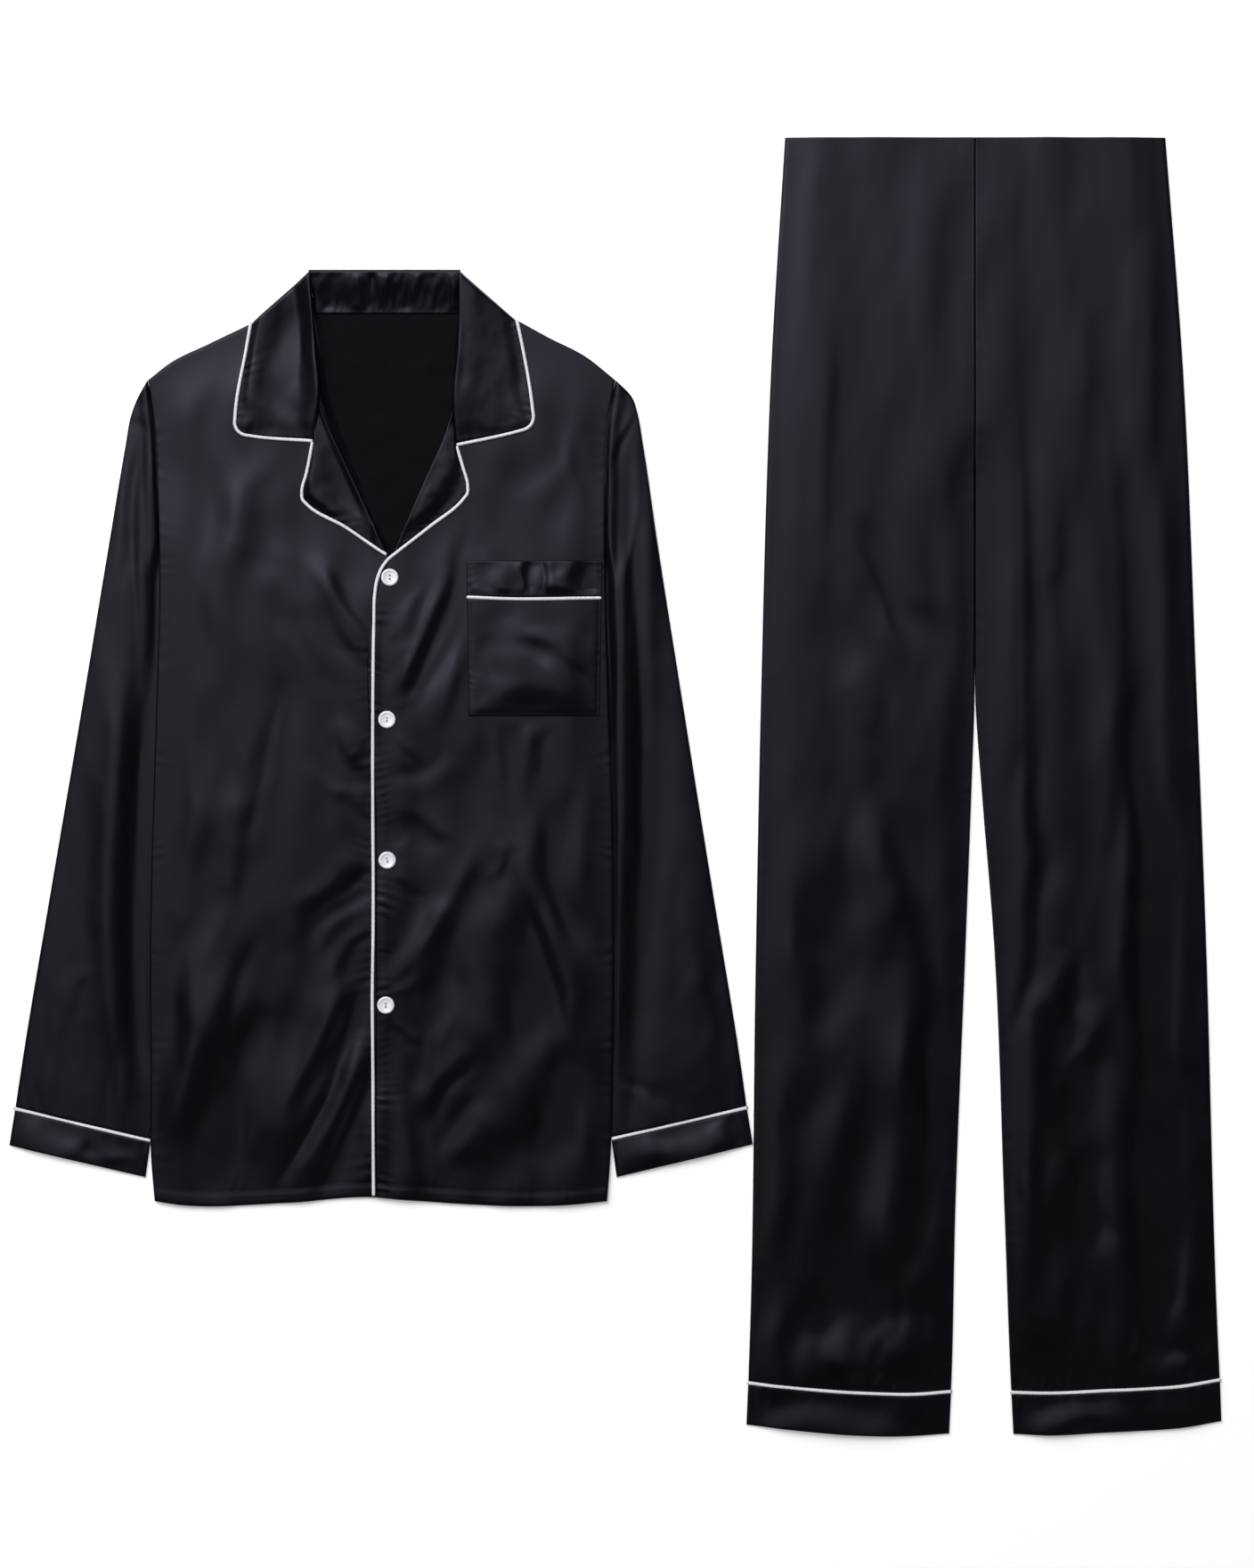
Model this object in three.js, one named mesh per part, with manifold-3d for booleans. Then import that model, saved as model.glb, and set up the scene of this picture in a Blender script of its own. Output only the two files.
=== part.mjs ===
// A satin pyjama set laid flat on a table: a jacket with a notched collar, and its trousers beside it.
// Millimetres, +X to the right, +Y towards the collar, +Z up. The set lies on z = 0.
// Left and right in names are the wearer's, so the right sleeve is the one on the -X side.
// Each garment is drawn in its own frame: x from its middle line, y from its lowest hem.
import * as THREE from "three";
import Module from "manifold-3d";
import { mergeVertices } from "three/addons/utils/BufferGeometryUtils.js";

const wasm = await Module();
wasm.setup();

const CLOTH = 1; // wall of one layer of cloth
const SEAM = 0.3; // space between two pieces at a seam
const REST = 0.45; // space under a piece that lies on a panel
const PIPING = 1.2; // radius of the corded piping
const LOFT = 1.8; // how far an upper layer stands off the lower one
const MOST_LOFT = 3.7; // the most that a fold may add to that
const EDGE_RISE = 34; // over this width a layer rises from a side seam
const OVER_SLEEVE = 2.7; // height of the back's underside where a sleeve is folded in under it
const SLEEVE_STEP = 22; // how far past that sleeve the back stays at this height
const BUTTON = { radius: 7, height: 2.4, dish: 0.9, rim: 1.8, hole: 0.9, spacing: 2.4 };

const JACKET_AT = [-188, -336.24];
const TROUSERS_AT = [291, -525.6];

// Side edges of the jacket's body, hem to shoulder point.
const BODY_SIDES = [
  { y: 0.7, right: -184.5, left: 181.4 },
  { y: 34.6, right: -187.3, left: 183.9 },
  { y: 110, right: -187.9, left: 186 },
  { y: 241, right: -187.9, left: 186.6 },
  { y: 310, right: -186, left: 186 },
  { y: 402, right: -183.2, left: 182.9 },
  { y: 511, right: -180.7, left: 180 },
  { y: 582, right: -182.9, left: 180.2 },
  { y: 631, right: -185.8, left: 182.4 },
  { y: 665, right: -190, left: 187.9 },
];
const UNDERARM_Y = 511;

// Hem of the body from side to side.
const HEM = [
  [-184.5, 0.7],
  [-166, -2],
  [-78, -0.7],
  [-7, 3.8],
  [22, 1.4],
  [151, -2.2],
  [181.4, 0.7],
];
const SHOULDER = {
  right: [
    [-190, 665],
    [-172, 679],
    [-141.5, 694],
    [-107, 710.5],
    [-58.3, 734],
  ],
  left: [
    [61.9, 734],
    [108.7, 713],
    [134.6, 699],
    [162.7, 684.7],
    [187.9, 665],
  ],
};
const NECK = { y: 720, right: -53.3, left: 60.5 };

// Outer edge of each sleeve from the cuff's seam to the crown, and its cuff.
const SLEEVES = {
  right: {
    outer: [
      [-297.4, 77],
      [-292.8, 108],
      [-268.8, 252],
      [-244.3, 396],
      [-220.5, 540],
      [-208.4, 612],
      [-204, 636],
      [-199.4, 648.7],
      [-190.5, 664.6],
    ],
    hem: [
      [-302.4, 46.1],
      [-192.2, 20.2],
    ],
    seam: [
      [-297.4, 77],
      [-187.9, 51.1],
    ],
    elbowSide: [-33, 452],
  },
  left: {
    outer: [
      [294.1, 77.8],
      [289.9, 108],
      [266.7, 252],
      [243.7, 396],
      [221.1, 540],
      [210.5, 612],
      [205.9, 638],
      [202, 650.2],
      [188.4, 664.6],
    ],
    hem: [
      [299.2, 46.8],
      [189, 20.2],
    ],
    seam: [
      [294.1, 77.8],
      [184.6, 52.6],
    ],
    elbowSide: [33, 452],
  },
};

// The neck's fold line, and each front's own edge, from the hem to the shoulder.
const FRONT_EDGES = {
  right: [
    [13.7, 3.5],
    [13.7, 508],
    [4.3, 527],
    [-48.2, 651],
    [-57, 690],
    [-58.3, 734],
  ],
  left: [
    [-5.7, 4.6],
    [-5.2, 489],
    [0.6, 509],
    [9.3, 530],
    [52.6, 637],
    [60, 690],
    [61.9, 734],
  ],
};
const OVERLAP_EDGE = 13.7; // the hidden edge of the right front
const OVERLAP_STEP = 22; // width over which the left front comes down beside it

const COLLAR = {
  roll: { y: 753.8, right: -58.3, left: 61.2 },
  rollHeight: 5.6, // how far the inner roll stands off the fronts
  rollWidth: 34, // over this width the leaf comes down from it
  notch: { y: 612, rise: 40, share: 0.35 }, // at the notch the roll has this share of its height
  rim: 1.3,
  wall: 1.2,
};
const LOOK_ROUND = 9; // how far round a place a piece looks for what it must clear
// Each leaf: the piping round its free edge, its shoulder fold and its inner roll.
const LEAVES = {
  right: {
    piping: [
      [-106.8, 710],
      [-119.4, 631],
      [-117, 623],
      [-108, 619.3],
      [-56, 615.2],
    ],
    fold: [
      [-105.2, 712],
      [-58.3, 753.8],
    ],
    roll: [
      [-56, 616.8],
      [-49.7, 651.6],
      [-54, 693.4],
      [-58.3, 753.8],
    ],
  },
  left: {
    piping: [
      [108.4, 712],
      [121.7, 635],
      [119.5, 627],
      [112, 623],
      [59, 612.2],
    ],
    fold: [
      [106.7, 714],
      [61.2, 753.8],
    ],
    roll: [
      [59, 613.8],
      [55, 640],
      [60.5, 693.4],
      [61.2, 753.8],
    ],
  },
};
const LEAF_CORNER = 2; // the piping's point at the leaf's lower outer corner

// Each lapel: its fold line, and the piping of its edge from the notch to the break point.
// On the left the piping runs on down the front's edge to the hem.
const LAPELS = {
  right: {
    fold: [
      [-51, 646],
      [2.4, 527.6],
    ],
    piping: [
      [-57, 612.2],
      [-65.6, 571.6],
      [-61.6, 563.8],
      [-1.6, 526],
    ],
  },
  left: {
    fold: [
      [54.6, 632],
      [9.6, 527.8],
    ],
    piping: [
      [60, 609.4],
      [69, 577.6],
      [66.2, 569.4],
      [11.6, 525.2],
      [-0.6, 513.6],
      [-5.4, 500],
      [-6.9, 486],
      [-7.8, 400],
      [-7.8, 200],
      [-7.3, 6],
    ],
  },
};
const LAPEL_POINTS = 4; // of the piping's points, those that lie round the lapel
const PIPING_TURNS = { low: 488, high: 514 }; // between them the left piping climbs onto its lapel

const POCKET = { right: 67.7, left: 177.1, top: 518.4, piping: 488.4, bottom: 392.6, taper: 1.8 };
const BUTTON_PLACES = [
  { x: 5.9, y: 505 },
  { x: 3.6, y: 390.2 },
  { x: 3.8, y: 276.7 },
  { x: 2.6, y: 159.6 },
];

// Large soft folds of the jacket: height over the layer below, and half width.
const JACKET_FOLDS = [
  { x1: 20, y1: 500, x2: 88, y2: 380, height: 0.9, width: 13 },
  { x1: 16, y1: 490, x2: 48, y2: 330, height: 0.8, width: 12 },
  { x1: 96, y1: 600, x2: 60, y2: 540, height: 0.8, width: 15 },
  { x1: -76, y1: 8, x2: -32, y2: 74, height: 1.4, width: 10 },
  { x1: -120, y1: 0, x2: -126, y2: 210, height: 0.9, width: 24 },
  { x1: -60, y1: 240, x2: -66, y2: 430, height: 0.8, width: 26 },
  { x1: -140, y1: 300, x2: -128, y2: 540, height: 0.9, width: 22 },
  { x1: -150, y1: 620, x2: -90, y2: 540, height: 1, width: 18 },
  { x1: -30, y1: 200, x2: -96, y2: 120, height: 0.8, width: 20 },
  { x1: 70, y1: 20, x2: 58, y2: 250, height: 0.9, width: 24 },
  { x1: 130, y1: 0, x2: 138, y2: 230, height: 1.1, width: 22 },
  { x1: 40, y1: 270, x2: 120, y2: 340, height: 0.7, width: 22 },
  { x1: 150, y1: 260, x2: 146, y2: 372, height: 0.8, width: 18 },
  { x1: 150, y1: 620, x2: 110, y2: 560, height: 0.9, width: 18 },
];
const SLEEVE_LOFT = 2.6; // how far a sleeve's upper layer stands off its lower one
const CUFF_LOFT = 1.9;
const FULL_WIDTH = 50; // a sleeve narrower than this stands up less
const PIPING_RISE = 0.7; // how far a ring of piping stands out of its seam

// Side and inner edges of the trouser legs, hem to waist, and the fork between them.
const LEG_EDGES = {
  right: {
    low: [
      [-185, 9.4],
      [-141, 4.7],
      [-91.4, 0.9],
      [-54.7, 0.2],
      [-20.9, 2.2],
    ],
    high: [
      [-153.7, 1050.5],
      [-0.15, 1050.5],
    ],
    minusX: [
      [-185, 9.4],
      [-183.6, 42],
      [-182.2, 81],
      [-177.6, 376],
      [-173.2, 598],
      [-164.5, 873],
      [-153.7, 1050.5],
    ],
    plusX: [
      [-20.9, 2.2],
      [-19.3, 36],
      [-15.8, 183],
      [-7.3, 403],
      [-3.4, 528],
      [-1.6, 600],
      [-1.4, 790],
      [-0.15, 1050.5],
    ],
  },
  left: {
    low: [
      [31, 1.8],
      [58.3, 1.1],
      [113.8, 3.6],
      [169.2, 7.2],
      [199.4, 12.2],
    ],
    high: [
      [0.15, 1050.5],
      [154.1, 1050.5],
    ],
    minusX: [
      [31, 1.8],
      [29.3, 36],
      [23.8, 183],
      [15.1, 403],
      [6.4, 520],
      [1.6, 600],
      [-0.7, 790],
      [0.15, 1050.5],
    ],
    plusX: [
      [199.4, 12.2],
      [198.3, 44],
      [196.6, 81],
      [187, 403],
      [179.6, 598],
      [167.8, 873],
      [154.1, 1050.5],
    ],
  },
};
const FORK_Y = 792;
const LEG_BAND = 32.5; // height of the turned band below the leg's piping
const TROUSER_FOLDS = [
  { x1: 62, y1: 820, x2: 70, y2: 560, height: 1.1, width: 20 },
  { x1: 96, y1: 640, x2: 90, y2: 200, height: 0.9, width: 24 },
  { x1: 146, y1: 740, x2: 152, y2: 420, height: 1, width: 22 },
  { x1: 40, y1: 460, x2: 60, y2: 120, height: 0.8, width: 16 },
  { x1: 150, y1: 300, x2: 168, y2: 70, height: 1.1, width: 20 },
  { x1: 60, y1: 1030, x2: 44, y2: 880, height: 0.8, width: 22 },
  { x1: -140, y1: 900, x2: -150, y2: 640, height: 1, width: 22 },
  { x1: -96, y1: 760, x2: -66, y2: 640, height: 1.1, width: 18 },
  { x1: -110, y1: 500, x2: -104, y2: 160, height: 1, width: 26 },
  { x1: -60, y1: 380, x2: -52, y2: 90, height: 0.9, width: 16 },
  { x1: -150, y1: 300, x2: -156, y2: 80, height: 0.9, width: 18 },
  { x1: -70, y1: 1020, x2: -96, y2: 880, height: 0.8, width: 24 },
];

const SATIN = new THREE.MeshStandardMaterial({ color: "#1d1e23", roughness: 0.42, metalness: 0 });
const WHITE_SATIN = new THREE.MeshStandardMaterial({ color: "#e8e8f0", roughness: 0.5, metalness: 0 });
const PEARL = new THREE.MeshStandardMaterial({ color: "#dcdce4", roughness: 0.25, metalness: 0 });

const lerp = (a, b, share) => a + (b - a) * share;
const within = (share) => Math.min(1, Math.max(0, share));
const ease = (share) => within(share) ** 2 * (3 - 2 * within(share));

// A line through points; at(share) is the place at that share of its length.
function line(points) {
  const reached = [0];
  for (let i = 1; i < points.length; i += 1) {
    const step = Math.hypot(points[i][0] - points[i - 1][0], points[i][1] - points[i - 1][1]);
    reached.push(reached[i - 1] + step);
  }
  const length = reached[points.length - 1];
  const at = (share) => {
    const goal = within(share) * length;
    let i = 1;
    while (i < points.length - 1 && reached[i] < goal) i += 1;
    const part = (goal - reached[i - 1]) / (reached[i] - reached[i - 1]);
    return points[i].map((value, axis) => lerp(points[i - 1][axis], value, part));
  };
  return { at, length, corners: reached.map((value) => value / length) };
}

// Shares from 0 to 1 that pass through every corner of the given lines, evenly filled in between.
function sharesThrough(lines, count, from = 0, to = 1) {
  const near = 0.3 / count;
  const corners = lines.flatMap((each) => each.corners).filter((c) => c > from + near && c < to - near);
  const stops = [from];
  for (const corner of corners.sort((a, b) => a - b)) {
    if (corner - stops[stops.length - 1] > near) stops.push(corner);
  }
  stops.push(to);
  const shares = [from];
  for (let i = 1; i < stops.length; i += 1) {
    const parts = Math.max(1, Math.round((stops[i] - stops[i - 1]) * count));
    for (let k = 1; k <= parts; k += 1) shares.push(lerp(stops[i - 1], stops[i], k / parts));
  }
  return shares;
}

// A surface stretched between four lines that meet at its corners.
function panelPlan({ low, high, minusX, plusX }) {
  return (across, up) => {
    const mix = (axis) =>
      lerp(low.at(across)[axis], high.at(across)[axis], up) +
      lerp(minusX.at(up)[axis], plusX.at(up)[axis], across) -
      lerp(
        lerp(low.at(0)[axis], low.at(1)[axis], across),
        lerp(high.at(0)[axis], high.at(1)[axis], across),
        up,
      );
    return [mix(0), mix(1)];
  };
}

// Plan points in rows from hem to top, each row from the -X side to the +X side.
function planGrid(edges, columns, rows, from = 0, to = 1) {
  const sides = Object.fromEntries(Object.entries(edges).map(([name, points]) => [name, line(points)]));
  const plan = panelPlan(sides);
  const across = sharesThrough([sides.low, sides.high], columns);
  const up = sharesThrough([sides.minusX, sides.plusX], rows, from, to);
  return up.map((u) => across.map((a) => plan(a, u)));
}

// Height of the soft folds at a place: each is a ridge that dies away at its ends and sides.
function foldsAt(folds, x, y) {
  let height = 0;
  for (const fold of folds) {
    const along = [fold.x2 - fold.x1, fold.y2 - fold.y1];
    const reach = along[0] ** 2 + along[1] ** 2;
    const share = within(((x - fold.x1) * along[0] + (y - fold.y1) * along[1]) / reach);
    const aside = Math.hypot(x - fold.x1 - along[0] * share, y - fold.y1 - along[1] * share) / fold.width;
    height += fold.height * Math.exp(-aside * aside) * (0.4 + 0.6 * Math.sin(Math.PI * share));
  }
  return height;
}

// Value of one column of a table at a height, in a straight line between its rows.
function tableAt(table, column, y) {
  let i = 1;
  while (i < table.length - 1 && table[i].y < y) i += 1;
  const share = within((y - table[i - 1].y) / (table[i].y - table[i - 1].y));
  return lerp(table[i - 1][column], table[i][column], share);
}

// The x of a line of points at a height.
function xAt(points, y) {
  return tableAt(points.map(([x, height]) => ({ x, y: height })), "x", y);
}

// Distance from a place to a closed outline, and 0 inside it.
function distanceOutside(outline, x, y) {
  let inside = false;
  let nearest = Infinity;
  outline.forEach(([x1, y1], i) => {
    const [x2, y2] = outline[(i + 1) % outline.length];
    if (y1 > y !== y2 > y && x < ((x2 - x1) * (y - y1)) / (y2 - y1) + x1) inside = !inside;
    const share = within(((x - x1) * (x2 - x1) + (y - y1) * (y2 - y1)) / ((x2 - x1) ** 2 + (y2 - y1) ** 2));
    nearest = Math.min(nearest, Math.hypot(x - lerp(x1, x2, share), y - lerp(y1, y2, share)));
  });
  return inside ? 0 : nearest;
}

// Turns a list of triangle corners into a geometry whose faces point outwards.
function geometryFrom(corners) {
  const volume = corners.reduce((sum, [ax, ay, az], i) => {
    if (i % 3) return sum;
    const [bx, by, bz] = corners[i + 1];
    const [cx, cy, cz] = corners[i + 2];
    return sum + ax * (by * cz - bz * cy) + ay * (bz * cx - bx * cz) + az * (bx * cy - by * cx);
  }, 0);
  const outward = volume < 0 ? corners.map((_, i) => corners[i + [0, 1, -1][i % 3]]) : corners;
  const geometry = new THREE.BufferGeometry();
  geometry.setAttribute("position", new THREE.Float32BufferAttribute(outward.flat(), 3));
  geometry.computeVertexNormals();
  return geometry;
}

const quad = (a, b, c, d) => [a, b, c, a, c, d];

// A wall of cloth over a grid of plan points, its underside at the height that under gives.
function clothSheet(grid, under, thick = CLOTH) {
  const lower = grid.map((row) => row.map(([x, y]) => [x, y, under(x, y)]));
  const upper = lower.map((row) => row.map(([x, y, z]) => [x, y, z + thick]));
  const rows = grid.length - 1;
  const columns = grid[0].length - 1;
  const corners = [];
  for (let j = 0; j < rows; j += 1) {
    for (let i = 0; i < columns; i += 1) {
      corners.push(...quad(upper[j][i], upper[j][i + 1], upper[j + 1][i + 1], upper[j + 1][i]));
      corners.push(...quad(lower[j][i], lower[j + 1][i], lower[j + 1][i + 1], lower[j][i + 1]));
    }
    corners.push(...quad(lower[j][0], upper[j][0], upper[j + 1][0], lower[j + 1][0]));
    corners.push(
      ...quad(lower[j][columns], lower[j + 1][columns], upper[j + 1][columns], upper[j][columns]),
    );
  }
  for (let i = 0; i < columns; i += 1) {
    corners.push(...quad(lower[0][i], lower[0][i + 1], upper[0][i + 1], upper[0][i]));
    corners.push(...quad(lower[rows][i], upper[rows][i], upper[rows][i + 1], lower[rows][i + 1]));
  }
  return geometryFrom(corners);
}

// One ring round a flattened tube: under its plan points, round the far fold, and back over them.
function flatRing(row, upperZ, inset, low, lift, skip) {
  const last = row.length - 1;
  const pull = (i, amount) => {
    const [x, y] = row[i];
    const near = i === 0 ? row[1] : row[last - 1];
    const reach = Math.hypot(near[0] - x, near[1] - y);
    return [lerp(x, near[0], amount / reach), lerp(y, near[1], amount / reach)];
  };
  const place = (i, amount) => (i === 0 || i === last ? pull(i, amount) : row[i]);
  const round = 0.4;
  const under = row.map((_, i) => i).filter((i) => i % skip === 0);
  const over = row.map((_, i) => last - i);
  const top = (i) => upperZ(...row[i]) + lift;
  return [
    ...under.map((i) => [...place(i, inset + round), low]),
    [...place(last, inset), (low + top(last)) / 2],
    ...over.map((i) => [...place(i, inset + round), top(i)]),
    [...place(0, inset), (low + top(0)) / 2],
  ];
}

// A flattened tube of cloth over rows of plan points; upperZ is the top of its upper layer,
// and its lower layer uses every point, or one in skip.
function clothTube(rows, upperZ, { wall = CLOTH, skip = 1 } = {}) {
  const outer = rows.map((row) => flatRing(row, upperZ, 0, 0, 0, skip));
  const inner = rows.map((row) => flatRing(row, upperZ, wall, wall, -wall, skip));
  const corners = [];
  const count = outer[0].length;
  const last = rows.length - 1;
  for (let i = 0; i < count; i += 1) {
    const next = (i + 1) % count;
    for (let j = 0; j < last; j += 1) {
      corners.push(...quad(outer[j][i], outer[j][next], outer[j + 1][next], outer[j + 1][i]));
      corners.push(...quad(inner[j][i], inner[j + 1][i], inner[j + 1][next], inner[j][next]));
    }
    corners.push(...quad(outer[0][i], inner[0][i], inner[0][next], outer[0][next]));
    corners.push(...quad(outer[last][i], outer[last][next], inner[last][next], inner[last][i]));
  }
  return geometryFrom(corners);
}

// A route whose steps fall on its own points.
class Route extends THREE.CatmullRomCurve3 {
  getPointAt(share, target) {
    return this.getPoint(share, target);
  }

  getTangentAt(share, target) {
    return this.getTangent(share, target);
  }
}

// Corded piping along places on the cloth, with closer steps where its bends are close.
function pipingAlong(points, heightAt, sides = 6) {
  const places = [points[0]];
  for (let i = 1; i < points.length; i += 1) {
    const [x1, y1] = points[i - 1];
    const [x2, y2] = points[i];
    const parts = Math.ceil(0.75 * Math.sqrt(Math.hypot(x2 - x1, y2 - y1)));
    for (let k = 1; k <= parts; k += 1) places.push([lerp(x1, x2, k / parts), lerp(y1, y2, k / parts)]);
  }
  const path = new Route(places.map(([x, y]) => new THREE.Vector3(x, y, heightAt(x, y))));
  const section = new THREE.Shape(
    Array.from({ length: sides }, (_, i) => {
      const angle = (2 * Math.PI * (i + 0.5)) / sides;
      return new THREE.Vector2(PIPING * Math.cos(angle), PIPING * Math.sin(angle));
    }),
  );
  const steps = places.length - 1;
  return new THREE.ExtrudeGeometry(section, { steps, bevelEnabled: false, extrudePath: path });
}

function solidFrom(geometry) {
  const bare = geometry.index ? geometry.toNonIndexed() : geometry.clone();
  bare.deleteAttribute("normal");
  bare.deleteAttribute("uv");
  const merged = mergeVertices(bare, 1e-3);
  const vertProperties = merged.attributes.position.array;
  return new wasm.Manifold(
    new wasm.Mesh({ numProp: 3, vertProperties, triVerts: new Uint32Array(merged.index.array) }),
  );
}

function geometryOf(solid) {
  const { vertProperties, triVerts } = solid.getMesh();
  const geometry = new THREE.BufferGeometry();
  geometry.setAttribute("position", new THREE.BufferAttribute(new Float32Array(vertProperties), 3));
  geometry.setIndex(new THREE.BufferAttribute(new Uint32Array(triVerts), 1));
  geometry.computeVertexNormals();
  return geometry;
}

const set = new THREE.Group();
const jacket = new THREE.Group();
const trousers = new THREE.Group();
set.add(jacket, trousers);

function addPiece(garment, name, geometry, material = SATIN) {
  const piece = new THREE.Mesh(geometry, material);
  piece.name = name;
  garment.add(piece);
}

const SIDES = ["right", "left"];
const towards = { right: -1, left: 1 };
const layer = CLOTH + SEAM;

// The part of each sleeve that lies under the body.
const sleeveUnderBody = Object.fromEntries(
  SIDES.map((side) => [
    side,
    [
      [tableAt(BODY_SIDES, side, UNDERARM_Y), UNDERARM_Y],
      SLEEVES[side].elbowSide,
      SLEEVES[side].seam[1],
      [SLEEVES[side].hem[1][0], SLEEVES[side].hem[1][1]],
      [SLEEVES[side].seam[1][0] + towards[side] * 9, 90],
      [tableAt(BODY_SIDES, side, 240) + towards[side] * 4, 240],
    ],
  ]),
);

// Height of the back's underside over the table: it lies flat but where a sleeve is under it.
function backUnder(x, y) {
  const reach = Math.min(...SIDES.map((side) => distanceOutside(sleeveUnderBody[side], x, y)));
  return OVER_SLEEVE * (1 - ease((reach - SLEEVE_STEP) / EDGE_RISE));
}

// How far the fronts stand off the back: nothing at the side and shoulder seams, then folds.
function frontLoft(x, y) {
  const side = Math.min(x - tableAt(BODY_SIDES, "right", y), tableAt(BODY_SIDES, "left", y) - x);
  const shoulderLine = x < 0 ? SHOULDER.right : SHOULDER.left;
  const byX = shoulderLine.map(([place, height]) => ({ y: place, height }));
  const shoulder = tableAt(byX, "height", x) - y;
  const rise = ease(side / EDGE_RISE) * ease(shoulder / EDGE_RISE);
  return rise * Math.min(MOST_LOFT, LOFT + foldsAt(JACKET_FOLDS, x, y));
}

// Height of a panel's upper side at a place, read from the panel's own points.
function topOf(grid, under, thick = CLOTH) {
  const faces = [];
  for (let j = 1; j < grid.length; j += 1) {
    for (let i = 1; i < grid[0].length; i += 1) {
      const [a, b, c, d] = [grid[j - 1][i - 1], grid[j - 1][i], grid[j][i], grid[j][i - 1]];
      faces.push([a, b, c], [a, c, d]);
    }
  }
  const heights = faces.map((face) => face.map(([x, y]) => under(x, y) + thick));
  return (x, y) => {
    for (let f = 0; f < faces.length; f += 1) {
      const [[x1, y1], [x2, y2], [x3, y3]] = faces[f];
      const area = (x2 - x1) * (y3 - y1) - (x3 - x1) * (y2 - y1);
      const second = ((x - x1) * (y3 - y1) - (x3 - x1) * (y - y1)) / area;
      const third = ((x2 - x1) * (y - y1) - (x - x1) * (y2 - y1)) / area;
      const least = -0.01;
      if (second >= least && third >= least && second + third <= 1 - least) {
        const [h1, h2, h3] = heights[f];
        return h1 + (h2 - h1) * second + (h3 - h1) * third;
      }
    }
    return -Infinity;
  };
}

// The highest of some surfaces at a place and just round it.
function highestAt(tops, x, y, round = LOOK_ROUND) {
  let highest = -Infinity;
  for (let turn = 0; turn < 9; turn += 1) {
    const angle = (turn * Math.PI) / 4;
    const reach = turn < 8 ? round : 0;
    for (const top of tops) {
      highest = Math.max(highest, top(x + reach * Math.cos(angle), y + reach * Math.sin(angle)));
    }
  }
  return highest;
}

// A line moved sideways by a distance, to its left when that is positive.
function movedAside(points, distance) {
  const normals = points.slice(1).map(([x, y], i) => {
    const step = Math.hypot(x - points[i][0], y - points[i][1]);
    return [-(y - points[i][1]) / step, (x - points[i][0]) / step];
  });
  return points.map(([x, y], i) => {
    const before = normals[Math.max(0, i - 1)];
    const after = normals[Math.min(normals.length - 1, i)];
    const share = distance / (1 + before[0] * after[0] + before[1] * after[1]);
    return [x + (before[0] + after[0]) * share, y + (before[1] + after[1]) * share];
  });
}

// Upper sides of the panels laid so far, and the height just clear of both fronts.
const tops = {};
const BARE_SEAM = layer + CLOTH; // top of two layers at a seam
const onFronts = (round) => (x, y) =>
  Math.max(highestAt([tops.jacket_front_right, tops.jacket_front_left], x, y, round), BARE_SEAM) + REST;

// Adds a panel of the jacket, and keeps the height of its upper side for what lies on it.
function addPanel(name, grid, under, thick = CLOTH) {
  tops[name] = topOf(grid, under, thick);
  addPiece(jacket, name, clothSheet(grid, under, thick));
}

const bodySide = (side) => BODY_SIDES.map((row) => [row[side], row.y]);

// Jacket back, with its neck cut out at the top.
function makeBack() {
  const high = [
    ...SHOULDER.right,
    [NECK.right, NECK.y],
    [NECK.left, NECK.y],
    ...SHOULDER.left,
  ];
  const grid = planGrid({ low: HEM, high, minusX: bodySide("right"), plusX: bodySide("left") }, 12, 18);
  addPanel("jacket_back", grid, backUnder);
}

function makeFronts() {
  const hemAt = (x) => tableAt(HEM.map(([place, height]) => ({ y: place, height })), "height", x);
  const hemPart = (from, to) => [
    [from, hemAt(from)],
    ...HEM.filter(([x]) => x > from + 4 && x < to - 4),
    [to, hemAt(to)],
  ];
  const edge = (side) => {
    const points = FRONT_EDGES[side].map((point) => [...point]);
    points[0][1] = hemAt(points[0][0]);
    return points;
  };
  const rightEdge = edge("right");
  const leftEdge = edge("left");
  const right = {
    low: hemPart(HEM[0][0], rightEdge[0][0]),
    high: SHOULDER.right,
    minusX: bodySide("right"),
    plusX: rightEdge,
  };
  const left = {
    low: hemPart(leftEdge[0][0], HEM[HEM.length - 1][0]),
    high: SHOULDER.left,
    minusX: leftEdge,
    plusX: bodySide("left"),
  };
  const onBack = (x, y) => highestAt([tops.jacket_back], x, y) + SEAM + frontLoft(x, y);
  addPanel("jacket_front_right", planGrid(right, 9, 20), onBack);
  const onBoth = (x, y) =>
    Math.max(onBack(x, y), highestAt([tops.jacket_front_right], x, y, OVERLAP_STEP) + REST);
  addPanel("jacket_front_left", planGrid(left, 9, 20), onBoth);
}

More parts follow.
